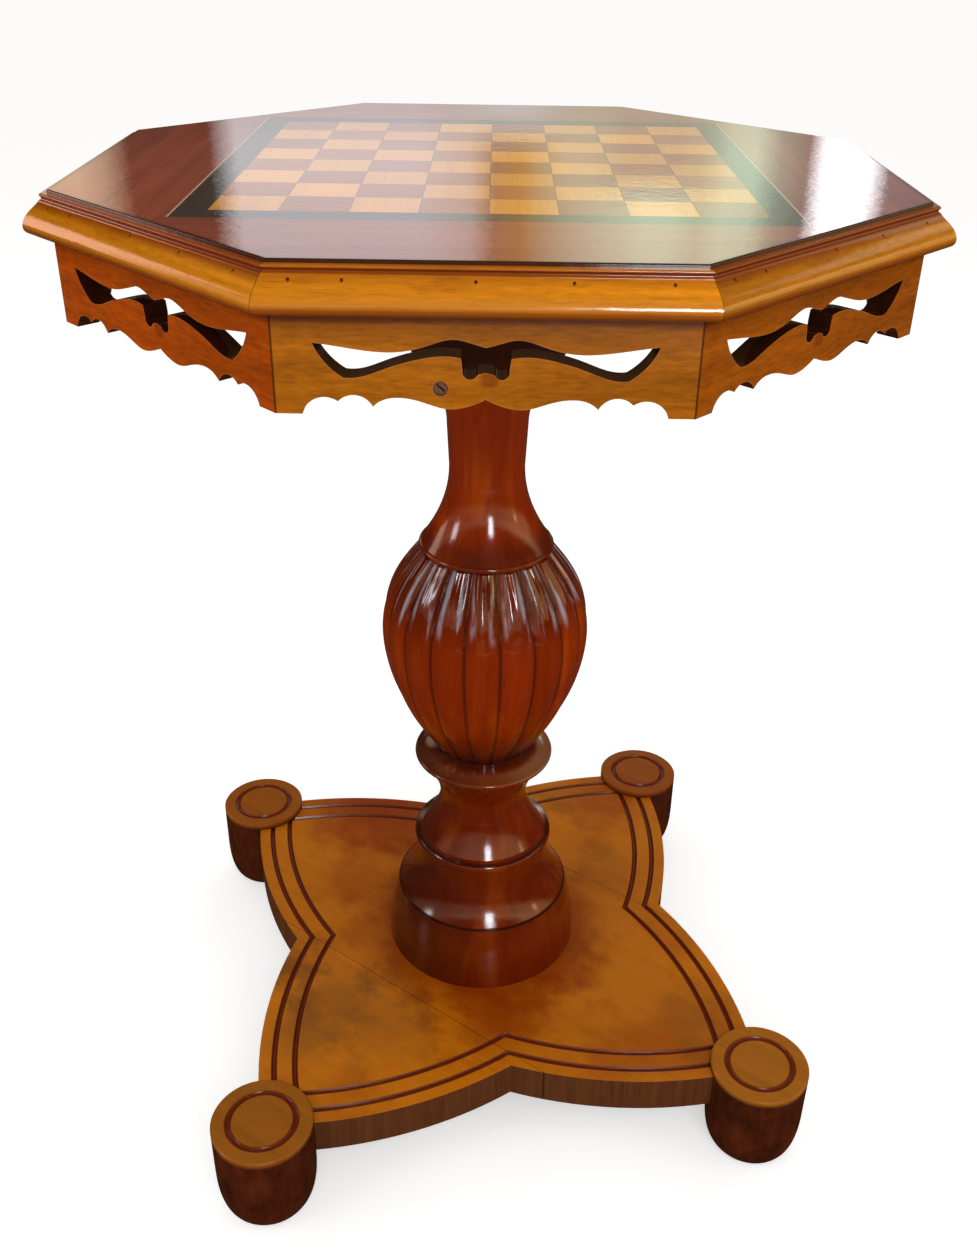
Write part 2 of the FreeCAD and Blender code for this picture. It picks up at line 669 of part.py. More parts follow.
def feet():
    """Four turned feet: a disc with a ring groove on top, an upright side and a bun below."""
    groove_in = FOOT_RING_RADIUS - FOOT_RING_WIDTH / 2
    groove_out = FOOT_RING_RADIUS + FOOT_RING_WIDTH / 2
    foot = turning((0, 0), [
        ("line", (FOOT_SOLE_RADIUS, 0)),
        ("bend", (FOOT_RADIUS, 0), (FOOT_RADIUS, FOOT_BUN_HEIGHT)),
        ("line", (FOOT_RADIUS, FOOT_TOP - FOOT_EDGE)),
        ("line", (FOOT_RADIUS - FOOT_EDGE, FOOT_TOP)),
        ("line", (groove_out, FOOT_TOP)),
        ("arc", (FOOT_RING_RADIUS, FOOT_TOP - FOOT_RING_DEPTH), (groove_in, FOOT_TOP)),
        ("line", (0, FOOT_TOP)),
        ("line", (0, 0)),
    ])
    bores = dowels_on_diagonals(GLUE_GAP)
    return [turned(foot.translated(centre).cut(bores), PEDESTAL_TURN) for centre in foot_centres()]


def all_pieces():
    """Every piece under its own name."""
    pieces = {
        "top_core": top_core(),
        "light_squares": square_tiles(0),
        "dark_squares": square_tiles(1),
        "moulding_pins": moulding_pins(),
        "front_apron_screw": front_apron_screw(),
        "glue_blocks": glue_blocks(),
        "top_bearer": top_bearer(),
        "bearer_screws": bearer_screws(),
        "column_neck": column_neck(),
        "gadroon_bulb": gadroon_bulb(),
        "column_stem": column_stem(),
        "column_drum": column_drum(),
        "foot_dowels": turned(dowels_on_diagonals(0), PEDESTAL_TURN),
    }
    strip = border_strip()
    panel = field_panel()
    for index, name in enumerate(QUARTER_NAMES):
        pieces["border_" + name] = turned(strip, index * 90)
        pieces["field_" + name] = turned(panel, index * 90)
    moulding = edge_moulding()
    apron = fret_apron()
    for index, name in enumerate(SIDE_NAMES):
        pieces["moulding_" + name] = turned(moulding, index * 360 / SIDES)
        pieces["apron_" + name] = turned(apron, index * 360 / SIDES)
    pieces["apron_front"] = front_apron()
    for name, board in base_boards().items():
        pieces["base_board_" + name] = board
    for name, foot in zip(CORNER_NAMES, feet()):
        pieces["foot_" + name] = foot
    return pieces


os.makedirs("parts", exist_ok=True)
for node, shape in all_pieces().items():
    shape.exportStep("parts/" + node + ".step")
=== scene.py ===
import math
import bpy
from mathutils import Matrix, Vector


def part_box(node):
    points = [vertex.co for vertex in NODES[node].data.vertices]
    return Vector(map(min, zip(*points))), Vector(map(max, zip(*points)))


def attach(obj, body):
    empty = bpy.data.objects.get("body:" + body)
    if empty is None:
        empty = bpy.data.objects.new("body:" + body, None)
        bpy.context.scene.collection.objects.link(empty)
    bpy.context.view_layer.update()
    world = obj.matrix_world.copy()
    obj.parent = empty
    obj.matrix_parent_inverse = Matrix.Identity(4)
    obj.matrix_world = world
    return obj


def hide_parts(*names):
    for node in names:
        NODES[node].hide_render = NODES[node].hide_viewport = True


bl_info = {
    "name": "Chess table finish",
    "version": (1, 0, 0),
    "blender": (4, 5, 0),
    "location": "View3D > Sidebar > Chess table",
    "description": "Stains, varnishes and details a pedestal chess table, and sets it in a plain studio",
    "category": "Object",
}

import bmesh
import bpy
from bpy.props import FloatProperty, FloatVectorProperty, PointerProperty
from mathutils import Matrix, Vector

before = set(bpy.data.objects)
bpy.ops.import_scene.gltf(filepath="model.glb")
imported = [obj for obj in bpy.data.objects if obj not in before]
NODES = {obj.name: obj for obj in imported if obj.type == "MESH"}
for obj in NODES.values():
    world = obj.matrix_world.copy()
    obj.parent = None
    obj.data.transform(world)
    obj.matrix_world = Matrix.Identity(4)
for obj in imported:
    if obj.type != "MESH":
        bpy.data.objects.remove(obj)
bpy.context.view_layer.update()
BODY = "root"

# Names of the pieces that repeat round the table, in the order in which they are turned
SIDES = ("front", "front_right", "right", "back_right", "back", "back_left", "left", "front_left")
QUARTERS = ("front", "right", "back", "left")
CORNERS = ("front_right", "back_right", "back_left", "front_left")
EIGHTH_TURN = math.radians(45)
QUARTER_TURN = math.radians(90)
MITRE_SLOPE = math.tan(math.radians(22.5))

# How far each side has taken the redder stain
REDNESS = {
    "front": 0.05, "front_right": 0.38, "right": 0.3, "back_right": 0.3,
    "back": 0.15, "back_left": 0.6, "left": 0.75, "front_left": 0.85,
}

# Painted shade on each side beside the front, as a factor on its moulding's colour and, as its square root,
# on its apron's
SIDE_SHADE = {
    "front": 1.0, "front_right": 0.72, "right": 0.8, "back_right": 0.85,
    "back": 0.9, "back_left": 0.85, "left": 0.85, "front_left": 0.85,
}

# Width of the painted highlight along the seam at each border strip's outer edge, in seams
SEAM_HIGHLIGHT_WIDTHS = {"front": 0.01, "right": 2.6, "back": 0.01, "left": 2.6}

# Tone of each foot's upper face, and how far it has taken the redder stain
FOOT_TONES = {
    "front_right": (1.15, 0.0), "back_right": (1.0, 0.55),
    "back_left": (1.05, 0.4), "front_left": (0.98, 0.1),
}

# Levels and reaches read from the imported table, in metres, and how far its base is turned
BOARD_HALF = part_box("light_squares")[1].x
SQUARE = BOARD_HALF / 4
BORDER_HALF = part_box("border_front")[1].x
TOP_HALF = -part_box("apron_front")[0].y
CORE_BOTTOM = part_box("apron_front")[1].z
LIP_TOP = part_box("moulding_front")[1].z
PLATE_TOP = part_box("base_board_centre")[1].z
FOOT_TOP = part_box("foot_front_right")[1].z
FOOT_MIDDLES = {name: (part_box("foot_" + name)[0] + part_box("foot_" + name)[1]) / 2 for name in CORNERS}
FOOT_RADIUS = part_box("foot_front_right")[1].x - FOOT_MIDDLES["front_right"].x
BULB_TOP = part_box("gadroon_bulb")[1].z
BULB_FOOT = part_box("column_stem")[1].z
PEDESTAL_TURN = math.atan2(FOOT_MIDDLES["back_right"].y, FOOT_MIDDLES["back_right"].x) - EIGHTH_TURN
BOARDS_TURN = PEDESTAL_TURN - EIGHTH_TURN
DRUM_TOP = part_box("column_drum")[1].z

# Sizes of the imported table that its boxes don't tell, in metres
BOARD_JOINT = 0.111
DRUM_STEP = PLATE_TOP + 0.059
RING_TOP = DRUM_TOP + 0.0075
COLLAR_TOP = BULB_TOP + 0.0055
SAUCER_LIP = (BULB_FOOT - 0.0085, BULB_FOOT - 0.0045)
LOBES = 18

# Levels at which painted shade, a painted highlight or a stain starts and is full, in metres
APRON_SHADOW = (CORE_BOTTOM - 0.0085, CORE_BOTTOM - 0.0035)
UNDER_TOP = (CORE_BOTTOM - 0.124, CORE_BOTTOM - 0.098)
ABOVE_COLLAR = (COLLAR_TOP + 0.022, COLLAR_TOP + 0.004)
BULB_COLLAR_SHADE = (BULB_TOP - 0.062, BULB_TOP - 0.02)
CHISELLED = (BULB_TOP - 0.03, BULB_TOP - 0.014)
BULB_SAUCER_SHADE = (BULB_FOOT + 0.06, BULB_FOOT)
LEFT_SHADE_LEVELS = (BULB_FOOT + 0.02, BULB_FOOT)
IN_SAUCER = (BULB_FOOT - 0.0055, BULB_FOOT - 0.0015)
PLATE_CARVED = (PLATE_TOP - 0.0004, PLATE_TOP - 0.0014)
FOOT_FACE = (FOOT_TOP - 0.007, FOOT_TOP - 0.0008)
FOOT_CARVED = (FOOT_TOP - 0.0003, FOOT_TOP - 0.0014)

# Depths below the lip at which the moulding's red stain, the painted shade in its hollow and the painted
# highlight on its nose start and are full, in metres
LIP_HOLLOW = (0.0014, 0.0039)
LIP_HOLLOW_SOFT = 0.0003
LIP_FLUSH = (0.0095, 0.0045)
NOSE_HIGHLIGHT = (0.011, 0.016)

# Other places, reaches and widths of stains, marks, painted shade and painted sheen, in metres
FIELD_RIM_SHADE = (TOP_HALF - 0.004, TOP_HALF - 0.001)
APRON_CORNER = (0.001, 0.003)
FRET_PATCH = (0.002, -TOP_HALF, CORE_BOTTOM - 0.0352)
FRET_PATCH_REACH = (0.0062, 0.003)
SAUCER_SOFT = 0.0012
SAUCER_SHEEN_SIDE = (0.005, 0.045)
LEFT_SHADE_ACROSS = (0.01, -0.06)
TURNED_CREASE_SHADE = 0.0012
CHISEL_RAGGED = 0.04
SHOULDER_FOOT = BULB_TOP - 0.028
PLATE_HUB_SHADE = (0.14, 0.075)
FOOT_RING = (FOOT_RADIUS * 0.9, FOOT_RADIUS * 0.85)

# Spacing and radius of dark dots, in metres
MOULDING_DOTS = (0.03, 0.0009)
APRON_DOTS = (0.035, 0.001)
PLATE_DOTS = (0.09, 0.0016)

# Patterns to the metre, along and across the grain
CLOUDS = (5.0, 17.0)
FLECKS = (90.0, 420.0)
MOULDING_MOTTLE = (24.0, 90.0)
APRON_MOTTLE = (20.0, 60.0)
COLUMN_STREAKS = (4.0, 45.0)
PLATE_CLOUDS = (20.0, 24.0)
PLATE_BLOTCHES = (7.0, 9.0)
SAWN_STREAKS = (12.0, 260.0)
FOOT_CLOUDS = (40.0, 60.0)
RUST_SPOTS = (1400.0, 1400.0)

# Brush marks in the varnish to the metre
WAVES = 80.0
FINE_WAVES = 120.0

# Levels of noise at which a pattern starts and is full
PORES = (0.56, 0.72)
MOTTLED = (0.5, 0.75)
DOTTED = (0.55, 0.6)
SCRAPED = (0.44, 0.6)
CLOUDED = (0.48, 0.78)
BLOTCHED = (0.46, 0.7)

# Upward or outward share of a face's normal at which a stain or painted shade starts and is full
UNDER_NOSE_SHADE = (0.42, -0.25)
BENEATH_SHADE = (-0.3, -0.9)
APRON_BACK = (0.55, 0.8)
APRON_SAWN = (0.8, 0.55)
PLATE_SAWN = (0.85, 0.4)
PLATE_FACE = (0.1, 0.4)
ROOM_CAPS = (0.4, 0.6)

# The bulb's lobes: shares of a lobe beside its groove that take painted shade and a painted highlight,
# chisel strokes to a lobe and to the metre of height, ragged ends of the strokes to a lobe,
# and steepness of the shoulder
LOBE_GROOVE_SHADE = (0.08, 0.015)
LOBE_FLANK_HIGHLIGHT = (0.14, 0.3)
LOBE_FLANK_SOFT = 0.06
LOBE_STROKES = 3.0
HEIGHT_STROKES = 22.0
LOBE_ENDS = 2.2
LOBE_SHOULDER = 900.0

# The photograph's frame, in pixels
FRAME_WIDTH = 977
FRAME_HEIGHT = 1255


def stain(red, green, blue):
    """Linear colour from the usual 0 to 255 values."""
    shares = (red / 255, green / 255, blue / 255)
    return tuple(s / 12.92 if s <= 0.04045 else ((s + 0.055) / 1.055) ** 2.4 for s in shares)


def wood(name, description, colour):
    """Colour property of one wood or stain."""
    return FloatVectorProperty(
        name=name, description=description, default=stain(*colour), subtype="COLOR", min=0, max=1,
    )


def length(name, description, default, precision=5):
    """Small length property."""
    return FloatProperty(
        name=name, description=description, default=default, min=0, unit="LENGTH", precision=precision,
    )


def share(name, description, default):
    """Property from nothing to one."""
    return FloatProperty(name=name, description=description, default=default, min=0, max=1, subtype="FACTOR")


def power(name, description, default):
    """Power of a lamp."""
    return FloatProperty(name=name, description=description, default=default, min=0, unit="POWER")


def number(name, description, default, least=0):
    """Plain number property."""
    return FloatProperty(name=name, description=description, default=default, min=least)


def tilt(name, description, default):
    """Angle property."""
    return FloatProperty(name=name, description=description, default=default, unit="ROTATION")


class TableWoods(bpy.types.PropertyGroup):
    """Stained colours of the woods, and the colours laid as painted shade, highlight and sheen."""

    light_square: wood("Light squares", "Wood of the light squares", (230, 156, 56))
    dark_square: wood("Dark squares", "Wood of the dark squares", (162, 88, 36))
    border: wood("Border", "Dark border round the board", (52, 50, 40))
    field: wood("Field", "Panels round the border", (148, 68, 42))
    # Painted highlight along the seam at the outer edge of the left and right border strips
    seam_highlight: wood("Stringing", "Pale glue line along the border", (226, 178, 140))
    moulding: wood("Moulding", "Slope of the moulding round the edge of the top", (222, 134, 16))
    # Painted highlight: the paler colour laid on the moulding's nose
    nose: wood("Nose", "Lighter nose of the moulding", (216, 134, 34))
    # Red stain, also laid as painted shade in the lip's hollow, under the nose and on the aprons below the
    # moulding
    lip: wood("Lip", "Redder stain in the hollow of the lip and under the nose", (128, 46, 6))
    apron: wood("Aprons", "Fretwork aprons at the front", (176, 101, 12))
    apron_red: wood("Redder aprons", "Fretwork aprons at the left", (184, 72, 2))
    # Painted highlight laid as pale worn wood along the fret's edges
    worn: wood("Worn edges", "Wood that shows on worn edges", (214, 160, 96))
    # Painted sheen laid on the saucer's lip
    saucer_sheen: wood("Worn red", "Red-brown wood where hands have dulled it", (150, 96, 58))
    column: wood("Column", "Turned column and its bulb", (130, 38, 2))
    column_light: wood("Column streaks", "Lighter streaks in the column", (164, 66, 4))
    plate: wood("Base plate", "Upper face of the base plate", (190, 108, 10))
    # Also laid as painted shade round the column's foot
    plate_red: wood("Plate stain", "Redder stain round the column and along the rim", (138, 50, 2))
    plate_smoke: wood("Plate smudges", "Dull smudges on the plate", (112, 70, 26))
    plate_edge: wood("Plate edge", "Sawn edge of the base plate", (98, 54, 26))
    # Red stain, also laid as painted shade in the carved grooves
    groove: wood("Grooves", "Red stain in the carved grooves of the plate and feet", (100, 16, 2))
    foot: wood("Feet", "Upper faces of the feet", (162, 96, 20))
    foot_side: wood("Foot sides", "Turned sides of the feet", (74, 28, 8))
    # Dark stain of joints, saw cuts and nail holes, also laid as painted shade in grooves, creases, under
    # overhangs and in the screw's slot
    dark_joints_and_shade: wood("Carved lines", "Stain in grooves, saw cuts and joints", (40, 16, 10))
    # Painted highlight laid on the chisel strokes below the collar
    chalk: wood("Chisel chalk", "Thinly varnished chisel marks below the collar", (204, 212, 228))
    bare: wood("Bare wood", "Wood under the top that is left unfinished", (142, 104, 64))
    iron: wood("Iron", "Dull iron of the screws", (122, 80, 56))
    rust: wood("Rust", "Rusted heads of the nails", (124, 62, 26))


class TableVarnish(bpy.types.PropertyGroup):
    """The varnish over the woods, and what the maker's tools left in them."""

    gloss: share("Gloss", "Share of the light that the varnish may reflect", 1.0)
    top_spread: share("Top spread", "Roughness of the polished varnish of the top", 0.05)
    bulb_spread: share("Bulb spread", "Roughness of the varnish of the bulb", 0.08)
    spread: share("Spread", "Roughness of the varnish elsewhere", 0.12)
    base_gloss: share("Base gloss", "Share of the light that the worn varnish of the base may reflect", 0.45)
    base_spread: share("Base spread", "Roughness of the worn varnish of the base", 0.25)
    ripple: length("Ripple", "Height of the brush marks in the varnish", 0.00007, 6)
    pore_depth: length("Pores", "Depth of the open pores", 0.00008, 6)
    chisel_depth: length("Chisel marks", "Depth of the chisel marks near the collar", 0.003)
    eased_edge: length("Eased edge", "Radius to which sanding has eased the edges", 0.0008)
    # Width of the painted highlight along the fret's edges
    edge_highlight_width: length("Worn edge", "Width of the paler wood along worn edges", 0.0011)
    seam: length("Seam", "Width of a glue line", 0.0005)


class TableStudio(bpy.types.PropertyGroup):
    """Floor, light and camera."""

    floor_colour: FloatVectorProperty(
        name="Floor", description="Colour of the floor", default=(0.84, 0.84, 0.84), min=0, max=1,
        subtype="COLOR",
    )
    floor_width: length("Floor width", "Width of the floor", 30.0, 2)
    floor_lift: share("Floor lift", "Brightness added to the floor for the eye, to make it white", 0.5)
    ambient: number("Ambient", "Strength of the light from all round", 0.55)
    key_power: power("Key", "Power of the lamp above the front", 19.0)
    left_power: power("Left lamp", "Power of the lamp at the left", 10.5)
    right_power: power("Right lamp", "Power of the lamp at the right", 7.5)
    back_power: power("Back lamp", "Power of the lamp behind the table", 6.0)
    window_glow: number("Windows", "Brightness of the windows that the varnish reflects", 28.0)
    camera_place: FloatVectorProperty(
        name="Camera", description="Place of the camera", default=(0.00393, -0.89238, 0.91886),
        subtype="TRANSLATION", unit="LENGTH",
    )
    camera_pitch: tilt("Pitch", "How far the camera looks down", 0.52625)
    camera_yaw: tilt("Yaw", "How far the camera looks to the right", -0.00126)
    camera_roll: tilt("Roll", "How far the camera is tilted sideways", 0.01437)
    focal_pixels: number("Focal length", "Focal length in pixels of the photograph", 1266.7, 1)


class Nodes:
    """A node tree under construction."""

    def __init__(self, tree):
        self.tree = tree
        tree.nodes.clear()

    def add(self, kind, feeds=None, **settings):
        """New node with its settings and with what goes into its sockets."""
        node = self.tree.nodes.new(kind)
        for name, value in settings.items():
            setattr(node, name, value)
        self.feed(node, feeds or {})
        return node

    def feed(self, node, feeds):
        """Joins a node's sockets to others, or gives them plain values."""
        for name, value in feeds.items():
            socket = node.inputs[name]
            if isinstance(value, bpy.types.NodeSocket):
                self.tree.links.new(value, socket)
            elif socket.type == "RGBA":
                socket.default_value = (*value[:3], 1)
            else:
                socket.default_value = value

    def sum(self, operation, *values):
        """Math on one to three values."""
        return self.add("ShaderNodeMath", dict(enumerate(values)), operation=operation).outputs[0]

    def seen(self):
        """1 for what the camera, the varnish or glass sees, 0 for the light that falls on the table."""
        path = self.add("ShaderNodeLightPath").outputs
        mirrored = self.sum("MAXIMUM", path["Is Camera Ray"], path["Is Glossy Ray"])
        return self.sum("MAXIMUM", mirrored, path["Is Transmission Ray"])


class Finish(Nodes):
    """A material under construction, with a short call for each kind of pattern that it needs."""

    STREAK_LENGTH = 24
    PORE_FINENESS = 6
    CLOUD_SHARE = 0.8
    STREAK_SHARE = 0.9
    PORE_SHARE = -0.22
    FIGURE_MEAN = 0.85
    EDGE_TURN = (0.97, 0.8)
    EDGE_SAMPLES = 4
    WOOD_ROUGHNESS = 0.5
    BARE_GLOSS = 0.3

    def __init__(self, name):
        self.material = bpy.data.materials.new(name)
        self.material.use_nodes = True
        super().__init__(self.material.node_tree)
        self.shader = self.add("ShaderNodeBsdfPrincipled")
        self.output = self.add("ShaderNodeOutputMaterial", {"Surface": self.shader.outputs["BSDF"]})
        place = self.add("ShaderNodeTexCoord").outputs
        self.place = place["Object"]
        self.facing = place["Normal"]
        self.pores = None

    def times(self, first, second):
        """Product of two values."""
        return self.sum("MULTIPLY", first, second)

    def scaled(self, value, factor, offset):
        """A value times a factor, plus an offset."""
        return self.sum("MULTIPLY_ADD", value, factor, offset)

    def step(self, value, low, high):
        """Smooth step from 0 at one limit to 1 at the other."""
        feeds = {"Value": value, "From Min": low, "From Max": high}
        return self.add("ShaderNodeMapRange", feeds, interpolation_type="SMOOTHSTEP").outputs["Result"]

    def band(self, value, low, high, soft):
        """1 between two limits, with soft edges."""
        rise = self.step(value, low - soft, low + soft)
        fall = self.step(value, high + soft, high - soft)
        return self.times(rise, fall)

    def vector(self, x, y, z=0.0):
        """A vector from three numbers."""
        return self.add("ShaderNodeCombineXYZ", {"X": x, "Y": y, "Z": z}).outputs["Vector"]

    def pair(self, operation, first, second):
        """What comes out of math on two vectors."""
        return self.add("ShaderNodeVectorMath", {0: first, 1: second}, operation=operation).outputs

    def turned(self, vector, turn, middle=(0, 0, 0)):
        """A vector seen from a piece that is turned about the column or stands at its own middle."""
        moved = self.pair("SUBTRACT", vector, middle)["Vector"]
        return self.add("ShaderNodeMapping", {"Vector": moved, "Rotation": (0, 0, -turn)}).outputs["Vector"]

    def stretched(self, vector, grain, along, across):
        """A vector scaled for a pattern that is drawn out along the grain's axis."""
        scale = [along if axis == grain else across for axis in "XYZ"]
        return self.add("ShaderNodeMapping", {"Vector": vector, "Scale": scale}).outputs["Vector"]

    def parts(self, vector):
        """The three numbers of a vector."""
        return self.add("ShaderNodeSeparateXYZ", {"Vector": vector}).outputs.values()

    def span(self, vector, other=(0, 0, 0)):
        """Distance between two points."""
        return self.pair("DISTANCE", vector, other)["Value"]

    def noise(self, vector, detail=2.0, roughness=0.5):
        """Cloudy noise around a half, one cloud to each unit of the vector."""
        feeds = {"Vector": vector, "Scale": 1.0, "Detail": detail, "Roughness": roughness}
        return self.add("ShaderNodeTexNoise", feeds).outputs["Fac"]

    def blend(self, amount, low, high):
        """Colour between two colours."""
        return self.add("ShaderNodeMix", {0: amount, 6: low, 7: high}, data_type="RGBA").outputs[2]

    def stained(self, colour, dye, *masks):
        """A colour with one dye laid over it where masks say, each with its share."""
        for mask, amount in masks:
            colour = self.blend(self.times(mask, amount), colour, dye)
        return colour

    def shade(self, colour, amount):
        """A colour made darker or lighter by an amount that varies over the surface."""
        base = colour if isinstance(colour, bpy.types.NodeSocket) else tuple(colour)
        feeds = {0: base, "Scale": amount}
        return self.add("ShaderNodeVectorMath", feeds, operation="SCALE").outputs["Vector"]

    def figured(self, colour, place, grain, contrast=1.0, streaks=170.0, pore_length=5.0):
        """A wood's colour with slow clouds, streaks along the grain and dark pores."""
        cloud = self.noise(self.stretched(place, grain, *CLOUDS))
        streak = self.noise(self.stretched(place, grain, streaks / self.STREAK_LENGTH, streaks), 4.0, 0.62)
        fine = self.stretched(place, grain, streaks / pore_length, streaks * self.PORE_FINENESS)
        self.pores = self.step(self.noise(fine, 1.0), *PORES)
        amount = self.scaled(cloud, self.CLOUD_SHARE * contrast, 1 - self.FIGURE_MEAN * contrast)
        amount = self.scaled(streak, self.STREAK_SHARE * contrast, amount)
        amount = self.scaled(self.pores, self.PORE_SHARE * contrast, amount)
        return self.shade(colour, amount)

    def flecked(self, colour, place, grain, amount):
        """A colour with short fine flecks along the grain."""
        fleck = self.noise(self.stretched(place, grain, *FLECKS), 3.0, 0.6)
        return self.shade(colour, self.scaled(fleck, amount, 1 - amount / 2))

    def line(self, distance, width):
        """1 within a third of a width of a line, fading to 0 at a full width."""
        return self.step(self.sum("ABSOLUTE", distance), width, width / 3)

    def mitre(self, across, depth):
        """Distance from the mitre planes of a side of the top, in its own frame."""
        reach = self.times(depth, -MITRE_SLOPE)
        return self.sum("SUBTRACT", reach, self.sum("ABSOLUTE", across))

    def dots(self, place, spacing, radius):
        """Sparse dark dots, such as stopped nail holes and pin knots."""
        cells = self.add("ShaderNodeTexVoronoi", {"Vector": place, "Scale": 1 / spacing}).outputs
        near = self.step(cells["Distance"], radius / spacing, radius / spacing / 2)
        return self.times(near, self.step(self.parts(cells["Color"])[0], *DOTTED))

    def rounded(self, radius):
        """Normal of the surface with its edges rounded to a radius."""
        return self.add("ShaderNodeBevel", {"Radius": radius}, samples=self.EDGE_SAMPLES).outputs["Normal"]

    def edges(self, radius):
        """1 along the edges of the piece and 0 on its faces."""
        normal = self.add("ShaderNodeNewGeometry").outputs["Normal"]
        return self.step(self.pair("DOT_PRODUCT", self.rounded(radius), normal)["Value"], *self.EDGE_TURN)

    def bump(self, height, distance, normal):
        """Normal of a surface raised by a height from 0 to 1, times a distance."""
        feeds = {"Strength": 1.0, "Distance": distance, "Height": height}
        if normal is not None:
            feeds["Normal"] = normal
        return self.add("ShaderNodeBump", feeds).outputs["Normal"]

    def sealed(self, colour, varnish, spread, waves=WAVES, marks=None, eased=True, gloss=None):
        """Lays the colour on, and the varnish over it with its ripples. Returns the material."""
        normal = self.rounded(varnish.eased_edge) if eased else None
        if marks is not None:
            normal = self.bump(marks, varnish.chisel_depth, normal)
        ripples = self.noise(self.stretched(self.place, "Z", waves, waves), 2.0, 0.6)
        self.feed(self.shader, {
            "Base Color": colour,
            "Roughness": self.WOOD_ROUGHNESS,
            "Specular IOR Level": 0.0,
            "Coat Weight": varnish.gloss if gloss is None else gloss,
            "Coat Roughness": spread,
            "Coat Normal": self.bump(ripples, varnish.ripple, normal),
        })
        if self.pores is not None:
            full = self.sum("SUBTRACT", 1.0, self.pores)
            self.feed(self.shader, {"Normal": self.bump(full, varnish.pore_depth, normal)})
        return self.material

    def pooled(self, lines, varnish):
        """Gloss of the base's worn varnish, which is full where it has pooled in carved lines."""
        return self.scaled(lines, varnish.gloss - varnish.base_gloss, varnish.base_gloss)

    def plain(self, colour, roughness):
        """Lays the colour on without varnish. Returns the material."""
        feeds = {"Base Color": colour, "Roughness": roughness, "Specular IOR Level": self.BARE_GLOSS}
        self.feed(self.shader, feeds)
        return self.material


def settings(context):
    """The woods and the varnish that are set on the scene."""
    return context.scene.table_woods, context.scene.table_varnish


def wear(node, material):
    """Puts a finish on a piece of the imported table."""
    slots = NODES[node].data.materials
    slots.clear()
    slots.append(material)


def squares_finish(name, colour, varnish, dark_joints_and_shade, grain, contrast):
    """Inlaid squares, each with its own tone, and a fine dark joint round each."""
    finish = Finish(name)
    cells = [finish.sum("DIVIDE", value, SQUARE) for value in finish.parts(finish.place)[:2]]
    corner = finish.vector(*[finish.sum("FLOOR", value) for value in cells])
    tone = finish.add("ShaderNodeTexWhiteNoise", {"Vector": corner}, noise_dimensions="2D").outputs
    shifted = finish.pair("ADD", tone["Color"], finish.place)["Vector"]
    figure = finish.figured(colour, shifted, grain, contrast, 210.0)
    body = finish.shade(figure, finish.scaled(tone["Value"], 0.26, 0.87))
    edges = [finish.sum("PINGPONG", value, 0.5) for value in cells]
    nearest = finish.times(finish.sum("MINIMUM", *edges), SQUARE)
    body = finish.stained(body, dark_joints_and_shade, (finish.line(nearest, varnish.seam), 0.7))
    return finish.sealed(body, varnish, varnish.top_spread, FINE_WAVES, eased=False)


class FinishBoard(bpy.types.Operator):
    """Light and dark squares of the board"""

    bl_idname = "chess_table.finish_board"
    bl_label = "Finish the board"

    def execute(self, context):
        woods, varnish = settings(context)
        dark_joints_and_shade = woods.dark_joints_and_shade
        wear("light_squares", squares_finish("light_square", woods.light_square, varnish, dark_joints_and_shade, "Y", 0.5))
        wear("dark_squares", squares_finish("dark_square", woods.dark_square, varnish, dark_joints_and_shade, "X", 0.8))
        return {"FINISHED"}


def border_finish(name, turn, seam_highlight_width, woods, varnish):
    """Dark strip of the border, with a painted highlight along the seam at its outer edge where the strip
    shows one.
    """
    finish = Finish(name)
    local = finish.turned(finish.place, turn)
    across, depth = finish.parts(local)[:2]
    colour = finish.figured(woods.border, local, "X", 0.8)
    # Painted highlight along the seam at the strip's outer edge
    highlit_seam = finish.line(finish.sum("ADD", depth, BORDER_HALF), seam_highlight_width)
    corner = finish.sum("SUBTRACT", finish.sum("ABSOLUTE", across), finish.sum("ABSOLUTE", depth))
    colour = finish.stained(colour, woods.dark_joints_and_shade, (finish.line(corner, varnish.seam), 0.5))
    colour = finish.stained(colour, woods.seam_highlight, (highlit_seam, 1.0))
    return finish.sealed(colour, varnish, varnish.top_spread, FINE_WAVES, eased=False)


class FinishBorder(bpy.types.Operator):
    """Dark border round the board"""

    bl_idname = "chess_table.finish_border"
    bl_label = "Finish the border"

    def execute(self, context):
        woods, varnish = settings(context)
        for index, side in enumerate(QUARTERS):
            name = "border_" + side
            seam_highlight_width = varnish.seam * SEAM_HIGHLIGHT_WIDTHS[side]
            wear(name, border_finish(name, index * QUARTER_TURN, seam_highlight_width, woods, varnish))
        return {"FINISHED"}


def field_finish(name, turn, woods, varnish):
    """Panel between border and edge, with painted shade along its eased outer edge."""
    finish = Finish(name)
    local = finish.turned(finish.place, turn)
    across, depth = finish.parts(local)[:2]
    colour = finish.figured(woods.field, local, "X", 1.0, 110.0)
    corner = finish.sum("SUBTRACT", finish.sum("ABSOLUTE", across), depth)
    corner = finish.times(corner, math.sqrt(0.5))
    reach = finish.sum("MAXIMUM", finish.times(depth, -1), corner)
    # Painted shade darkens the panel along its outer edge
    rim = finish.step(reach, *FIELD_RIM_SHADE)
    joint = finish.line(finish.sum("ADD", depth, BORDER_HALF), varnish.seam)
    colour = finish.stained(colour, woods.dark_joints_and_shade, (rim, 0.85), (joint, 0.6))
    return finish.sealed(colour, varnish, varnish.top_spread, FINE_WAVES)


class FinishField(bpy.types.Operator):
    """Panels between the border and the edge of the top"""

    bl_idname = "chess_table.finish_field"
    bl_label = "Finish the field"

    def execute(self, context):
        woods, varnish = settings(context)
        for index, side in enumerate(QUARTERS):
            name = "field_" + side
            wear(name, field_finish(name, index * QUARTER_TURN, woods, varnish))
        return {"FINISHED"}


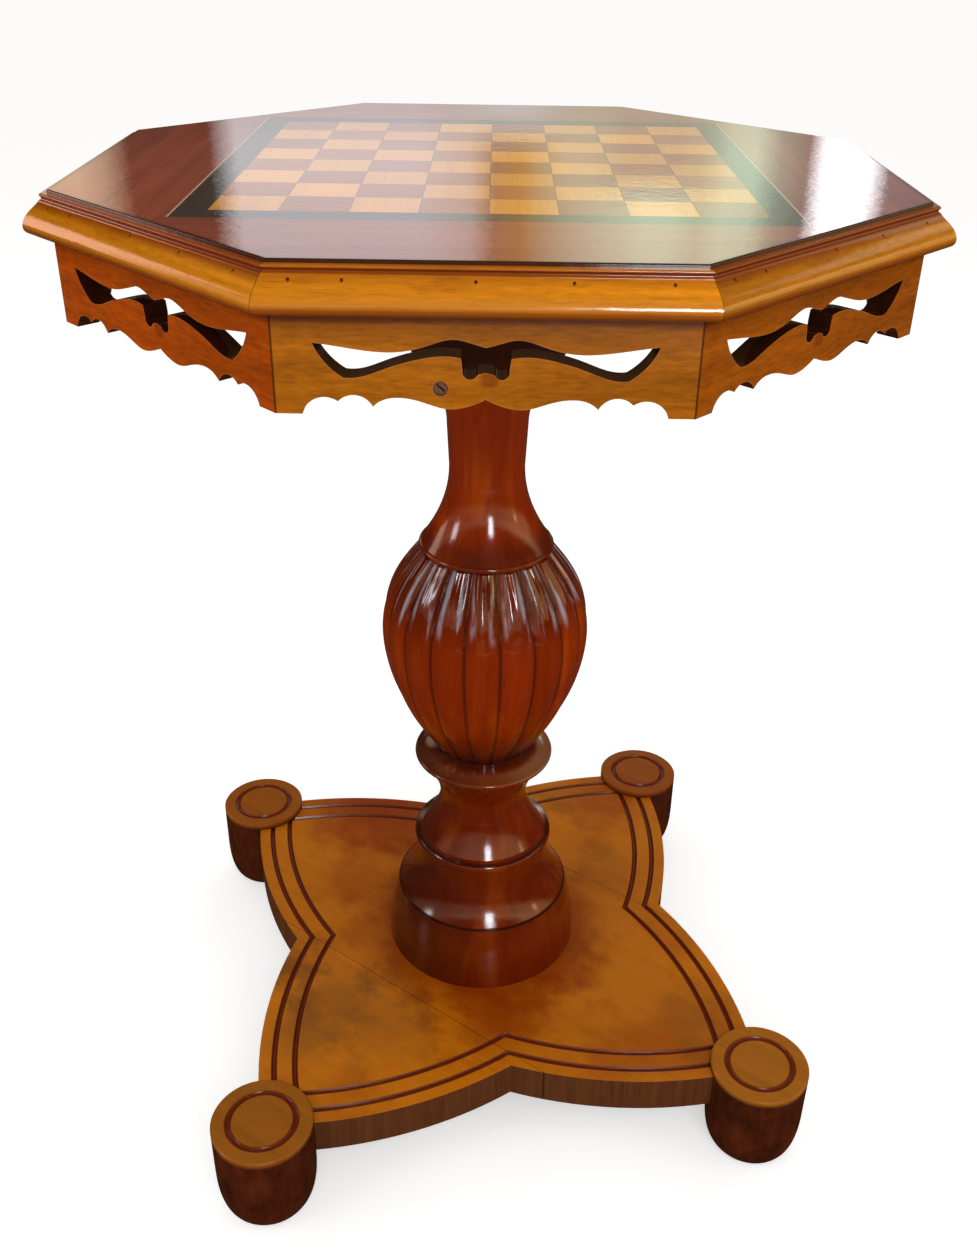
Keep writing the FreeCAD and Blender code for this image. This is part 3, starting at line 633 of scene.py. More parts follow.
def moulding_finish(name, turn, side, woods, varnish):
    """Moulding: bright bead, amber slope, a paler nose as painted highlight, painted shade in the hollow and
    below, and dark mitres.
    """
    finish = Finish(name)
    local = finish.turned(finish.place, turn)
    across, depth, height = finish.parts(local)
    below_lip = finish.sum("SUBTRACT", LIP_TOP, height)
    upward = finish.parts(finish.facing)[2]
    # The side's painted shade darkens the slope and weakens the nose's painted highlight
    colour = finish.figured(finish.shade(woods.moulding, SIDE_SHADE[side]), local, "X", 0.75, 150.0, 2.0)
    colour = finish.flecked(colour, local, "X", 0.6)
    # Painted highlight: a paler nose
    colour = finish.stained(colour, woods.nose, (finish.step(below_lip, *NOSE_HIGHLIGHT), 0.6 * SIDE_SHADE[side]))
    flush = finish.step(below_lip, *LIP_FLUSH)
    # Painted shade in the hollow under the bead and on the nose's lower half, in the red stain's colour
    hollow = finish.band(below_lip, *LIP_HOLLOW, LIP_HOLLOW_SOFT)
    under = finish.step(upward, *UNDER_NOSE_SHADE)
    reddened = min(0.85, 0.35 + 1.2 * REDNESS[side])
    mottle = finish.step(finish.noise(finish.stretched(local, "X", *MOULDING_MOTTLE), 4.0, 0.65), *MOTTLED)
    reds = (flush, reddened), (hollow, 0.75), (under, 0.75), (mottle, 0.3)
    colour = finish.stained(colour, woods.lip, *reds)
    # Painted shade on faces that turn downward
    beneath = finish.step(upward, *BENEATH_SHADE)
    cut = finish.line(finish.mitre(across, depth), varnish.seam * 1.4)
    dots = finish.dots(local, *MOULDING_DOTS)
    colour = finish.stained(colour, woods.dark_joints_and_shade, (beneath, 0.5), (cut, 0.4), (dots, 0.6))
    return finish.sealed(colour, varnish, varnish.spread, eased=False)


class FinishMouldings(bpy.types.Operator):
    """Mouldings round the edge of the top"""

    bl_idname = "chess_table.finish_mouldings"
    bl_label = "Finish the mouldings"

    def execute(self, context):
        woods, varnish = settings(context)
        for index, side in enumerate(SIDES):
            name = "moulding_" + side
            wear(name, moulding_finish(name, index * EIGHTH_TURN, side, woods, varnish))
        return {"FINISHED"}


def apron_finish(name, turn, side, woods, varnish):
    """Apron: figured face, dark saw cuts with a painted highlight on their edges, a dark patch under the
    fret, a painted shadow under the moulding, and a bare back.
    """
    finish = Finish(name)
    local = finish.turned(finish.place, turn)
    across, depth, height = finish.parts(local)
    outward = finish.parts(finish.turned(finish.facing, turn))[1]
    base = finish.blend(REDNESS[side], woods.apron, woods.apron_red)
    colour = finish.figured(finish.shade(base, SIDE_SHADE[side] ** 0.5), local, "X", 0.85, 190.0, 2.0)
    colour = finish.flecked(colour, local, "X", 1.0)
    patch = finish.step(finish.span(local, FRET_PATCH), *FRET_PATCH_REACH)
    # Painted shadow of the moulding on the apron's top
    shadow = finish.step(height, *APRON_SHADOW)
    mottle = finish.step(finish.noise(finish.stretched(local, "X", *APRON_MOTTLE), 4.0, 0.65), *MOTTLED)
    colour = finish.stained(colour, woods.lip, (patch, 0.6), (shadow, 0.8), (mottle, 0.25))
    dots = finish.dots(local, *APRON_DOTS)
    inside = finish.mitre(across, depth)
    cut = finish.line(inside, varnish.seam * 2)
    colour = finish.stained(colour, woods.dark_joints_and_shade, (dots, 0.6), (cut, 0.8), (shadow, 0.4))
    # Painted highlight along the fret's edges, laid as pale worn wood
    worn = finish.times(finish.edges(varnish.edge_highlight_width), finish.step(inside, *APRON_CORNER))
    colour = finish.stained(colour, woods.worn, (worn, 0.45))
    back = finish.step(outward, *APRON_BACK)
    colour = finish.blend(back, colour, finish.shade(woods.bare, 0.6))
    sawn = finish.step(finish.sum("ABSOLUTE", outward), *APRON_SAWN)
    colour = finish.stained(colour, woods.dark_joints_and_shade, (sawn, 0.95))
    return finish.sealed(colour, varnish, varnish.spread, eased=False)


class FinishAprons(bpy.types.Operator):
    """Fretwork aprons"""

    bl_idname = "chess_table.finish_aprons"
    bl_label = "Finish the aprons"

    def execute(self, context):
        woods, varnish = settings(context)
        for index, side in enumerate(SIDES):
            name = "apron_" + side
            wear(name, apron_finish(name, index * EIGHTH_TURN, side, woods, varnish))
        return {"FINISHED"}


def turned_colour(finish, tone, woods):
    """Red-brown turned wood with its grain upright and lighter streaks."""
    colour = finish.figured(finish.shade(woods.column, tone), finish.place, "Z", 0.8, 120.0)
    streak = finish.noise(finish.stretched(finish.place, "Z", *COLUMN_STREAKS), 3.0)
    light = finish.shade(woods.column_light, tone)
    return finish.stained(colour, light, (finish.step(streak, *MOTTLED), 0.8))


def turned_finish(name, tone, shadows, lines, woods, varnish):
    """Plain turned piece, with painted shade between pairs of levels, in creases and on its left side below
    the bulb, and a painted sheen on the saucer's lip.
    """
    finish = Finish(name)
    across, _, height = finish.parts(finish.place)
    colour = turned_colour(finish, tone, woods)
    # Painted sheen on the saucer's lip, stronger at its right
    dulled = finish.scaled(finish.step(across, *SAUCER_SHEEN_SIDE), 0.65, 0.2)
    colour = finish.stained(colour, woods.saucer_sheen, (finish.band(height, *SAUCER_LIP, SAUCER_SOFT), dulled))
    # Painted shade between pairs of levels, and in the creases at the given lines
    masks = [(finish.step(height, clear, dark), amount) for clear, dark, amount in shadows]
    masks += [(finish.line(finish.sum("SUBTRACT", height, level), TURNED_CREASE_SHADE), 0.8) for level in lines]
    # Painted shade on the left side below the bulb
    left_shade = finish.step(across, *LEFT_SHADE_ACROSS)
    low = finish.step(height, *LEFT_SHADE_LEVELS)
    masks.append((finish.times(left_shade, low), 0.6))
    return finish.sealed(finish.stained(colour, woods.dark_joints_and_shade, *masks), varnish, varnish.spread, FINE_WAVES)


def bulb_finish(woods, varnish):
    """Gadrooned bulb: lobes of differing tone, painted shade in the grooves, under the collar and near the
    saucer, and chisel marks below the collar with a painted highlight.
    """
    finish = Finish("gadroon_bulb")
    x, y, height = finish.parts(finish.turned(finish.place, PEDESTAL_TURN - QUARTER_TURN))
    lobes = finish.times(finish.sum("ARCTAN2", y, x), LOBES / math.tau)
    lobe = finish.sum("FLOOR", lobes)
    tone = finish.add("ShaderNodeTexWhiteNoise", {"W": lobe}, noise_dimensions="1D").outputs["Value"]
    # The tone of 1.2 lightens the bulb as painted light on the column's one wood
    colour = turned_colour(finish, 1.2, woods)
    colour = finish.shade(colour, finish.scaled(tone, 0.4, 0.8))
    beside_groove = finish.sum("PINGPONG", lobes, 0.5)
    # Painted shade in the grooves between lobes, under the collar and near the saucer
    groove = finish.step(beside_groove, *LOBE_GROOVE_SHADE)
    collar_shade = finish.step(height, *BULB_COLLAR_SHADE)
    saucer_shade = finish.step(height, *BULB_SAUCER_SHADE)
    colour = finish.stained(colour, woods.dark_joints_and_shade, (groove, 0.6), (collar_shade, 0.45), (saucer_shade, 0.8))
    strokes = finish.vector(finish.times(lobes, LOBE_STROKES), finish.times(height, HEIGHT_STROKES))
    scraped = finish.noise(strokes, 4.0, 0.55)
    ends = finish.noise(finish.vector(finish.times(lobes, LOBE_ENDS), 0.0), 1.0)
    level = finish.scaled(ends, CHISEL_RAGGED, height)
    chiselled = finish.step(level, *CHISELLED)
    # Painted highlight on the chisel strokes along the lobes' flanks
    highlit_flanks = finish.band(beside_groove, *LOBE_FLANK_HIGHLIGHT, LOBE_FLANK_SOFT)
    highlit_strokes = finish.times(highlit_flanks, finish.step(scraped, *SCRAPED))
    highlit_strokes = finish.times(highlit_strokes, chiselled)
    colour = finish.stained(colour, woods.chalk, (highlit_strokes, 0.5))
    crowned = finish.sum("SINE", finish.times(beside_groove, math.pi))
    shaped = finish.scaled(crowned, 0.7, finish.scaled(scraped, 0.1, -0.45))
    above = finish.sum("MAXIMUM", finish.sum("SUBTRACT", level, SHOULDER_FOOT), 0.0)
    shoulder = finish.times(finish.sum("POWER", above, 2.0), LOBE_SHOULDER)
    marks = finish.scaled(shaped, chiselled, shoulder)
    return finish.sealed(colour, varnish, varnish.bulb_spread, FINE_WAVES, marks)


class FinishColumn(bpy.types.Operator):
    """Turned column and its gadrooned bulb"""

    bl_idname = "chess_table.finish_column"
    bl_label = "Finish the column"

    def execute(self, context):
        woods, varnish = settings(context)
        # Tones make the neck lighter and the stem and drum darker, as painted light and shade on one wood;
        # the pairs of levels take painted shade under the top, above the collar and inside the saucer, and
        # the lines painted shade in creases
        for name, tone, shadows, lines in (
            ("column_neck", 1.4, ((*UNDER_TOP, 0.95), (*ABOVE_COLLAR, 0.55)), ()),
            ("column_stem", 0.75, ((*IN_SAUCER, 0.65), ), (RING_TOP, )),
            ("column_drum", 0.62, (), (DRUM_STEP, )),
        ):
            wear(name, turned_finish(name, tone, shadows, lines, woods, varnish))
        wear("gadroon_bulb", bulb_finish(woods, varnish))
        return {"FINISHED"}


# Stains on the base plate: place across and along the room, reach, and share
RED_STAINS = (
    (-0.13, 0.16, 0.09, 0.8), (-0.085, 0.15, 0.08, 0.7), (0.015, -0.115, 0.07, 0.8),
    (0.13, 0.19, 0.07, 0.6), (-0.2, -0.05, 0.06, 0.6), (0.06, -0.05, 0.06, 0.5),
    (-0.12, 0.055, 0.06, 0.45),
)
SMOKE_STAINS = (
    (-0.15, -0.14, 0.05, 0.5), (-0.08, -0.125, 0.06, 0.35), (-0.125, -0.1, 0.06, 0.5),
    (-0.18, -0.055, 0.05, 0.6),
    (0.185, -0.115, 0.05, 0.35), (0.12, 0.075, 0.05, 0.25), (0.08, 0.185, 0.04, 0.3),
)


def plate_finish(name, tone, woods, varnish):
    """Board of the base plate: smudged amber above with painted shade round the column, grooves in red stain
    and painted shade, and a streaked sawn edge.
    """
    finish = Finish(name)
    local = finish.turned(finish.place, BOARDS_TURN)
    _, across, height = finish.parts(local)
    upward = finish.parts(finish.facing)[2]
    top = finish.figured(finish.shade(woods.plate, tone), local, "X", 0.3, 90.0)
    even = finish.stretched(local, "Z", 0.0, 1.0)
    cloud = finish.noise(finish.stretched(even, "X", *PLATE_CLOUDS), 5.0, 0.65)
    blotch = finish.noise(finish.stretched(even, "X", *PLATE_BLOTCHES), 5.0, 0.6)
    ragged = finish.scaled(cloud, 0.12, -0.06)
    # Painted shade round the column's foot, in the redder stain
    column_foot_shade = finish.step(finish.sum("ADD", finish.span(even), ragged), *PLATE_HUB_SHADE)
    top = finish.shade(top, finish.scaled(cloud, 0.5, 0.78))
    clouds = (finish.step(cloud, *CLOUDED), 0.45), (finish.step(blotch, *BLOTCHED), 0.5)
    top = finish.stained(top, woods.plate_red, (column_foot_shade, 0.75), *clouds)
    flat = finish.stretched(finish.place, "Z", 0.0, 1.0)
    for dye, stains in ((woods.plate_red, RED_STAINS), (woods.plate_smoke, SMOKE_STAINS)):
        for x, y, reach, amount in stains:
            away = finish.sum("ADD", finish.span(flat, (x, y, 0)), ragged)
            top = finish.stained(top, dye, (finish.step(away, reach, reach / 6), amount))
    edge_streak = finish.noise(finish.stretched(finish.place, "Z", *SAWN_STREAKS), 4.0, 0.65)
    edge = finish.shade(woods.plate_edge, finish.scaled(edge_streak, 1.3, 0.35))
    colour = finish.blend(finish.step(upward, *PLATE_SAWN), top, edge)
    low = finish.step(height, *PLATE_CARVED)
    carved = finish.times(low, finish.step(upward, *PLATE_FACE))
    joint = finish.line(finish.sum("SUBTRACT", finish.sum("ABSOLUTE", across), BOARD_JOINT), varnish.seam)
    dots = finish.dots(local, *PLATE_DOTS)
    # Red stain and painted shade in the carved grooves
    colour = finish.stained(colour, woods.groove, (carved, 0.85))
    colour = finish.stained(colour, woods.dark_joints_and_shade, (joint, 0.6), (dots, 0.5))
    return finish.sealed(colour, varnish, varnish.base_spread, gloss=finish.pooled(carved, varnish))


class FinishBase(bpy.types.Operator):
    """Boards of the base plate"""

    bl_idname = "chess_table.finish_base"
    bl_label = "Finish the base plate"

    def execute(self, context):
        woods, varnish = settings(context)
        for name, tone in (("centre", 1.0), ("front_left", 1.06), ("back_right", 0.98)):
            name = "base_board_" + name
            wear(name, plate_finish(name, tone, woods, varnish))
        return {"FINISHED"}


def foot_finish(name, corner, woods, varnish):
    """Turned foot: amber above, a ring of red stain and painted shade, and dark sides."""
    finish = Finish(name)
    local = finish.turned(finish.place, BOARDS_TURN, (FOOT_MIDDLES[corner].x, FOOT_MIDDLES[corner].y, 0))
    tone, redness = FOOT_TONES[corner]
    height = finish.parts(local)[2]
    top = finish.blend(redness, finish.shade(woods.foot, tone), woods.plate_red)
    top = finish.figured(top, local, "X", 0.5, 120.0)
    cloud = finish.noise(finish.stretched(finish.place, "Z", *FOOT_CLOUDS), 4.0, 0.6)
    side = finish.shade(woods.foot_side, finish.scaled(cloud, 2.4, -0.2))
    side = finish.figured(side, local, "Z", 0.9, 110.0)
    colour = finish.blend(finish.step(height, *FOOT_FACE), side, top)
    below = finish.step(height, *FOOT_CARVED)
    reach = finish.span(finish.stretched(local, "Z", 0.0, 1.0))
    within = finish.step(reach, *FOOT_RING)
    ring = finish.times(below, within)
    # Red stain and painted shade in the ring's groove
    colour = finish.stained(colour, woods.groove, (ring, 0.85))
    return finish.sealed(colour, varnish, varnish.base_spread, gloss=finish.pooled(ring, varnish))


class FinishFeet(bpy.types.Operator):
    """Turned feet"""

    bl_idname = "chess_table.finish_feet"
    bl_label = "Finish the feet"

    def execute(self, context):
        woods, varnish = settings(context)
        for corner in CORNERS:
            name = "foot_" + corner
            wear(name, foot_finish(name, corner, woods, varnish))
        return {"FINISHED"}


def iron_colour(finish, colour):
    """Colour of dull iron, uneven from rust."""
    rust = finish.noise(finish.stretched(finish.place, "Z", *RUST_SPOTS), 3.0)
    return finish.shade(colour, finish.scaled(rust, 1.6, 0.2))


class FinishFrame(bpy.types.Operator):
    """Core, bearer, blocks, dowels and fixings under the top"""

    bl_idname = "chess_table.finish_frame"
    bl_label = "Finish what is under the top"

    def execute(self, context):
        woods = context.scene.table_woods
        rough = Finish("bare_wood")
        bare = rough.plain(rough.figured(woods.bare, rough.place, "X", 0.9, 80.0), 0.7)
        for name in ("top_core", "glue_blocks", "top_bearer", "foot_dowels"):
            wear(name, bare)
        for name, colour in (("moulding_pins", woods.rust), ("bearer_screws", woods.iron)):
            finish = Finish(name)
            wear(name, finish.plain(iron_colour(finish, colour), 0.4))
        return {"FINISHED"}


class MakeApronScrew(bpy.types.Operator):
    """Slotted countersunk screw in the front apron"""

    bl_idname = "chess_table.make_apron_screw"
    bl_label = "Make the apron's screw"

    SLOT_WIDTH = 0.0011
    SLOT_REACH = 0.0029
    SLOT_DEPTH = 0.0008
    SLOT_TILT = math.radians(48)
    EASED = 0.00025
    SEGMENTS = 40

    # Slanted axis along which the mesh is sorted, because the operators leave it in another order each run
    ORDER = Vector((1.0, 7.3, 61.7))

    def execute(self, context):
        woods = context.scene.table_woods
        low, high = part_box("front_apron_screw")
        head = (high.x - low.x) / 2
        shank = head / 2
        shape = bmesh.new()
        bmesh.ops.create_circle(shape, cap_ends=True, segments=self.SEGMENTS, radius=head)
        rim = [edge for edge in shape.edges if edge.is_boundary]
        made = rim
        for radius, depth in ((shank, head - shank), (shank, high.y - low.y)):
            made = self.drawn(shape, made, radius, depth)
        bmesh.ops.contextual_create(shape, geom=made)
        bmesh.ops.bevel(
            shape, geom=rim, offset=self.EASED, segments=2, profile=0.5, affect="EDGES", material=-1,
        )
        self.cut_slot(shape)
        bmesh.ops.recalc_face_normals(shape, faces=shape.faces[:])
        front = Matrix.Translation(((low.x + high.x) / 2, low.y, (low.z + high.z) / 2))
        turn = Matrix.Rotation(QUARTER_TURN, 4, "X") @ Matrix.Rotation(self.SLOT_TILT, 4, "Z")
        bmesh.ops.transform(shape, matrix=front @ turn, verts=shape.verts[:])
        shape.verts.sort(key=lambda vert: vert.co.dot(self.ORDER))
        shape.faces.sort(key=lambda face: face.calc_center_median().dot(self.ORDER))
        mesh = bpy.data.meshes.new("slotted_screw")
        shape.to_mesh(mesh)
        shape.free()
        mesh.materials.append(self.finish(woods, low.y))
        screw = bpy.data.objects.new("slotted_screw", mesh)
        context.scene.collection.objects.link(screw)
        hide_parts("front_apron_screw")
        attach(screw, BODY)
        return {"FINISHED"}

    def finish(self, woods, face):
        """Dull iron with painted shade in the slot."""
        finish = Finish("slotted_iron")
        depth = finish.sum("SUBTRACT", finish.parts(finish.place)[1], face)
        # Painted shade in the slot
        slot_shade = finish.step(depth, self.SLOT_DEPTH / 8, self.SLOT_DEPTH / 2)
        colour = finish.stained(iron_colour(finish, woods.iron), woods.dark_joints_and_shade, (slot_shade, 0.9))
        return finish.plain(colour, 0.4)

    def drawn(self, shape, edges, radius, depth):
        """Draws a ring of edges out to a ring of another radius at a depth below the head."""
        made = bmesh.ops.extrude_edge_only(shape, edges=edges)["geom"]
        for vert in (part for part in made if isinstance(part, bmesh.types.BMVert)):
            flat = vert.co.xy.normalized() * radius
            vert.co = (flat.x, flat.y, -depth)
        return [part for part in made if isinstance(part, bmesh.types.BMEdge) and part.is_boundary]

    def cut_slot(self, shape):
        """Sinks a slot across the flat of the head."""
        for axis, reach in ((0, self.SLOT_WIDTH / 2), (1, self.SLOT_REACH)):
            for side in (-1, 1):
                flat = [face for face in shape.faces if face.calc_center_median().z > -self.EASED / 4]
                geom = flat + list(dict.fromkeys(edge for face in flat for edge in face.edges))
                normal = Vector((1, 0, 0)) if axis == 0 else Vector((0, 1, 0))
                bmesh.ops.bisect_plane(shape, geom=geom, plane_co=normal * reach * side, plane_no=normal)
        floor = min(
            (face for face in shape.faces if face.calc_center_median().z > -self.EASED / 4),
            key=lambda face: face.calc_center_median().length,
        )
        sunk = bmesh.ops.extrude_face_region(shape, geom=[floor])["geom"]
        verts = [part for part in sunk if isinstance(part, bmesh.types.BMVert)]
        bmesh.ops.translate(shape, verts=verts, vec=(0, 0, -self.SLOT_DEPTH))
        bmesh.ops.delete(shape, geom=[floor], context="FACES_ONLY")


LAMP_AIM = (0, 0, 0.5)


def lamp(context, name, bearing, reach, height, width, watts):
    """Square area lamp at a bearing from the front, aimed at the column."""
    data = bpy.data.lights.new(name, "AREA")
    data.size = width
    data.energy = watts
    light = bpy.data.objects.new(name, data)
    angle = math.radians(bearing)
    light.location = (reach * math.sin(angle), -reach * math.cos(angle), height)
    light.rotation_euler = (Vector(LAMP_AIM) - light.location).to_track_quat("-Z", "Y").to_euler()
    light.visible_camera = False
    light.visible_glossy = False
    context.scene.collection.objects.link(light)


AMBIENT_TINT = (1, 0.98, 0.95)


def white_world(studio):
    """White to the eye, and a softer even light on the table."""
    world = bpy.data.worlds.new("soft_white")
    world.use_nodes = True
    nodes = Nodes(world.node_tree)
    light = nodes.add("ShaderNodeBackground", {"Color": AMBIENT_TINT, "Strength": studio.ambient})
    white = nodes.add("ShaderNodeBackground", {"Color": (1, 1, 1)})
    feeds = {0: nodes.seen(), 1: light.outputs[0], 2: white.outputs[0]}
    mix = nodes.add("ShaderNodeMixShader", feeds)
    nodes.add("ShaderNodeOutputWorld", {"Surface": mix.outputs[0]})
    return world


def stage_piece(context, name, shape, material):
    """Object of the stage from a finished shape."""
    mesh = bpy.data.meshes.new(name)
    shape.to_mesh(mesh)
    shape.free()
    mesh.materials.append(material)
    piece = bpy.data.objects.new(name, mesh)
    context.scene.collection.objects.link(piece)
    return piece


def pale_floor(context, studio):
    """Wide floor that is white to the eye and keeps the table's shadow."""
    shape = bmesh.new()
    bmesh.ops.create_grid(shape, x_segments=1, y_segments=1, size=studio.floor_width / 2)
    finish = Finish("pale_floor")
    matt = finish.add("ShaderNodeBsdfDiffuse", {"Color": studio.floor_colour})
    lift = finish.times(finish.seen(), studio.floor_lift)
    glow = finish.add("ShaderNodeEmission", {"Strength": lift})
    both = finish.add("ShaderNodeAddShader", {0: matt.outputs["BSDF"], 1: glow.outputs["Emission"]})
    finish.feed(finish.output, {"Surface": both.outputs["Shader"]})
    stage_piece(context, "floor", shape, finish.material)


# The wall that the varnish reflects: bearings in degrees from straight behind, and the colour there
WALL = (
    (-180, (1.2, 0.95, 0.6)),
    (-152, (1.2, 0.95, 0.6)),
    (-136, (1.1, 0.65, 0.42)),
    (-88, (1.1, 0.65, 0.42)),
    (-70, (0.05, 0.045, 0.04)),
    (-46, (0.05, 0.045, 0.04)),
    (-32, (1.3, 1.0, 0.7)),
    (-21.5, (1.3, 1.0, 0.7)),
    (-20.3, (0.1, 0.06, 0.05)),
    (-15.2, (0.1, 0.06, 0.05)),
    (-14.2, (1.25, 1.22, 1.25)),
    (-4, (1.25, 1.22, 1.25)),
    (-1, (1.05, 0.92, 0.82)),
    (0.3, (0.5, 0.24, 0.04)),
    (1.3, (0.75, 0.44, 0.13)),
    (4, (1.05, 1.02, 0.72)),
    (9.2, (1.65, 1.95, 1.42)),
    (11.4, (1.32, 1.45, 1.0)),
    (13.5, (1.7, 2.05, 1.5)),
    (15, (0.8, 0.9, 0.68)),
    (17.2, (0.4, 0.36, 0.33)),
    (18, (4.2, 4.4, 4.6)),
    (19.6, (4.2, 4.4, 4.6)),
    (20.4, (0.45, 0.42, 0.45)),
    (24, (0.35, 0.3, 0.26)),
    (34, (0.05, 0.045, 0.04)),
    (66, (0.05, 0.045, 0.04)),
    (84, (2.3, 1.7, 0.8)),
    (124, (2.3, 1.7, 0.8)),
    (150, (1.2, 0.95, 0.6)),
    (180, (1.2, 0.95, 0.6)),
)
# Openings in the wall, then what stands before it: bearing and half width in degrees, lowest and highest
# level, colour, share of the glow
OPENINGS = (
    (169, 5.0, 1.15, 1.95, (0.8, 0.92, 1.0), 1.0),
    (-108, 5.5, 1.12, 1.65, (0.86, 0.94, 1.0), 0.42),
    (-74, 7.0, 0.75, 1.95, (1.0, 0.62, 0.5), 0.14),
    (106, 2.5, 0.75, 1.0, (1.0, 0.7, 0.35), 0.3),
    (68, 9.0, 1.95, 2.45, (1.0, 0.95, 0.7), 0.035),
    (0.8, 3.0, 1.0, 1.25, (0.92, 1.0, 0.95), 0.036),
    (8.6, 3.6, 1.0, 1.4, (1.0, 0.92, 0.72), 0.0275),
)
OPENING_SOFT = 0.07
OPENING_SIDES_SOFT = 2.5

# Where the wall is lit: levels at its foot, in its dimmer lower part and at its crown
WALL_FOOT = (0.45, 0.8)
WALL_DIM = (1.05, 1.35)
WALL_CROWN = (2.0, 1.75)
FRONT_CROWN_DROP = 0.35
FRONT_BEARINGS = (48, 62)

# Where the floor gleams: bearings, reach from the column and the brighter right half
GLEAM_BEARINGS = (130, 165)
GLEAM_REACH = (2.3, 3.0)
GLEAM_RIGHT = (-0.6, 0.3)

# The room's size and the colours of its floor and ceiling
ROOM_RADIUS = 3.2
ROOM_HEIGHT = 2.6
ROOM_LIFT = 0.001
ROOM_SEGMENTS = 96
CEILING_STARTS = (1.0, 1.2)
ROOM_FLOOR = (0.05, 0.03, 0.02)
FLOOR_GLEAM = (0.7, 0.65, 0.6)
ROOM_CEILING = (0.08, 0.07, 0.055)


def room_screen(context, studio):
    """Round room that only the varnish sees: dim floor and ceiling, a wall and its windows."""
    shape = bmesh.new()
    bmesh.ops.create_cone(
        shape, cap_ends=True, segments=ROOM_SEGMENTS, radius1=ROOM_RADIUS, radius2=ROOM_RADIUS,
        depth=ROOM_HEIGHT, matrix=Matrix.Translation((0, 0, ROOM_HEIGHT / 2 + ROOM_LIFT)),
    )
    finish = Finish("room_screen")
    x, y, height = finish.parts(finish.place)
    bearing = finish.sum("DEGREES", finish.sum("ARCTAN2", x, y))
    ramp = finish.add("ShaderNodeValToRGB", {"Fac": finish.scaled(bearing, 1 / 360, 0.5)})
    stops = ramp.color_ramp.elements
    for degrees, _ in WALL[1:-1]:
        stops.new(degrees / 360 + 0.5)
    for stop, (degrees, colour) in zip(stops, WALL):
        stop.position = degrees / 360 + 0.5
        stop.color = (*colour, 1)
    lit = finish.scaled(finish.step(height, *WALL_DIM), 0.4, 0.6)
    in_front = finish.step(finish.sum("ABSOLUTE", bearing), *FRONT_BEARINGS)
    crown = finish.scaled(in_front, FRONT_CROWN_DROP, height)
    lit = finish.times(lit, finish.step(crown, *WALL_CROWN))
    lit = finish.times(lit, finish.step(height, *WALL_FOOT))
    wall = finish.shade(ramp.outputs["Color"], lit)
    for middle, half, low, high, colour, portion in OPENINGS:
        beside = finish.band(bearing, middle - half, middle + half, OPENING_SIDES_SOFT)
        opening = finish.times(beside, finish.band(height, low, high, OPENING_SOFT))
        wall = finish.blend(opening, wall, Vector(colour) * portion * studio.window_glow)
    level = finish.sum("ABSOLUTE", finish.parts(finish.facing)[2])
    ahead = finish.step(finish.sum("ABSOLUTE", bearing), *GLEAM_BEARINGS)
    gleam = finish.times(ahead, finish.step(finish.span(finish.place), *GLEAM_REACH))
    gleam = finish.times(gleam, finish.scaled(finish.step(x, *GLEAM_RIGHT), 0.7, 0.3))
    floor = finish.blend(gleam, ROOM_FLOOR, FLOOR_GLEAM)
    cap = finish.blend(finish.step(height, *CEILING_STARTS), floor, ROOM_CEILING)
    colour = finish.blend(finish.step(level, *ROOM_CAPS), wall, cap)
    glow = finish.add("ShaderNodeEmission", {"Color": colour})
    finish.feed(finish.output, {"Surface": glow.outputs["Emission"]})
    screen = stage_piece(context, "room_screen", shape, finish.material)
    for name in ("visible_camera", "visible_diffuse", "visible_transmission", "visible_shadow"):
        setattr(screen, name, False)


# Lamps: power setting, bearing in degrees from the front, reach, height and width
LAMPS = {
    "key": ("key_power", 10, 2.3, 2.3, 1.4),
    "left_lamp": ("left_power", -60, 2.4, 1.8, 1.2),
    "right_lamp": ("right_power", 70, 2.4, 1.8, 1.2),
    "back_lamp": ("back_power", 170, 2.4, 1.8, 1.2),
}
SENSOR_WIDTH = 36


def set_camera(context, studio):
    """Camera at its place, turned by its pitch, yaw and roll."""
    data = bpy.data.cameras.new("camera")
    data.sensor_width = SENSOR_WIDTH
    data.lens = studio.focal_pixels * SENSOR_WIDTH / max(FRAME_WIDTH, FRAME_HEIGHT)
    camera = bpy.data.objects.new("camera", data)
    context.scene.collection.objects.link(camera)
    pitch, yaw, roll = studio.camera_pitch, studio.camera_yaw, studio.camera_roll
    ahead = Vector((math.sin(yaw) * math.cos(pitch), math.cos(yaw) * math.cos(pitch), -math.sin(pitch)))
    across = Vector((math.cos(yaw), -math.sin(yaw), 0))
    upward = across.cross(ahead)
    level = across * math.cos(roll) + upward * math.sin(roll)
    upright = upward * math.cos(roll) - across * math.sin(roll)
    axes = Matrix((level, upright, -ahead)).transposed()
    camera.matrix_world = Matrix.Translation(studio.camera_place) @ axes.to_4x4()
    context.scene.camera = camera


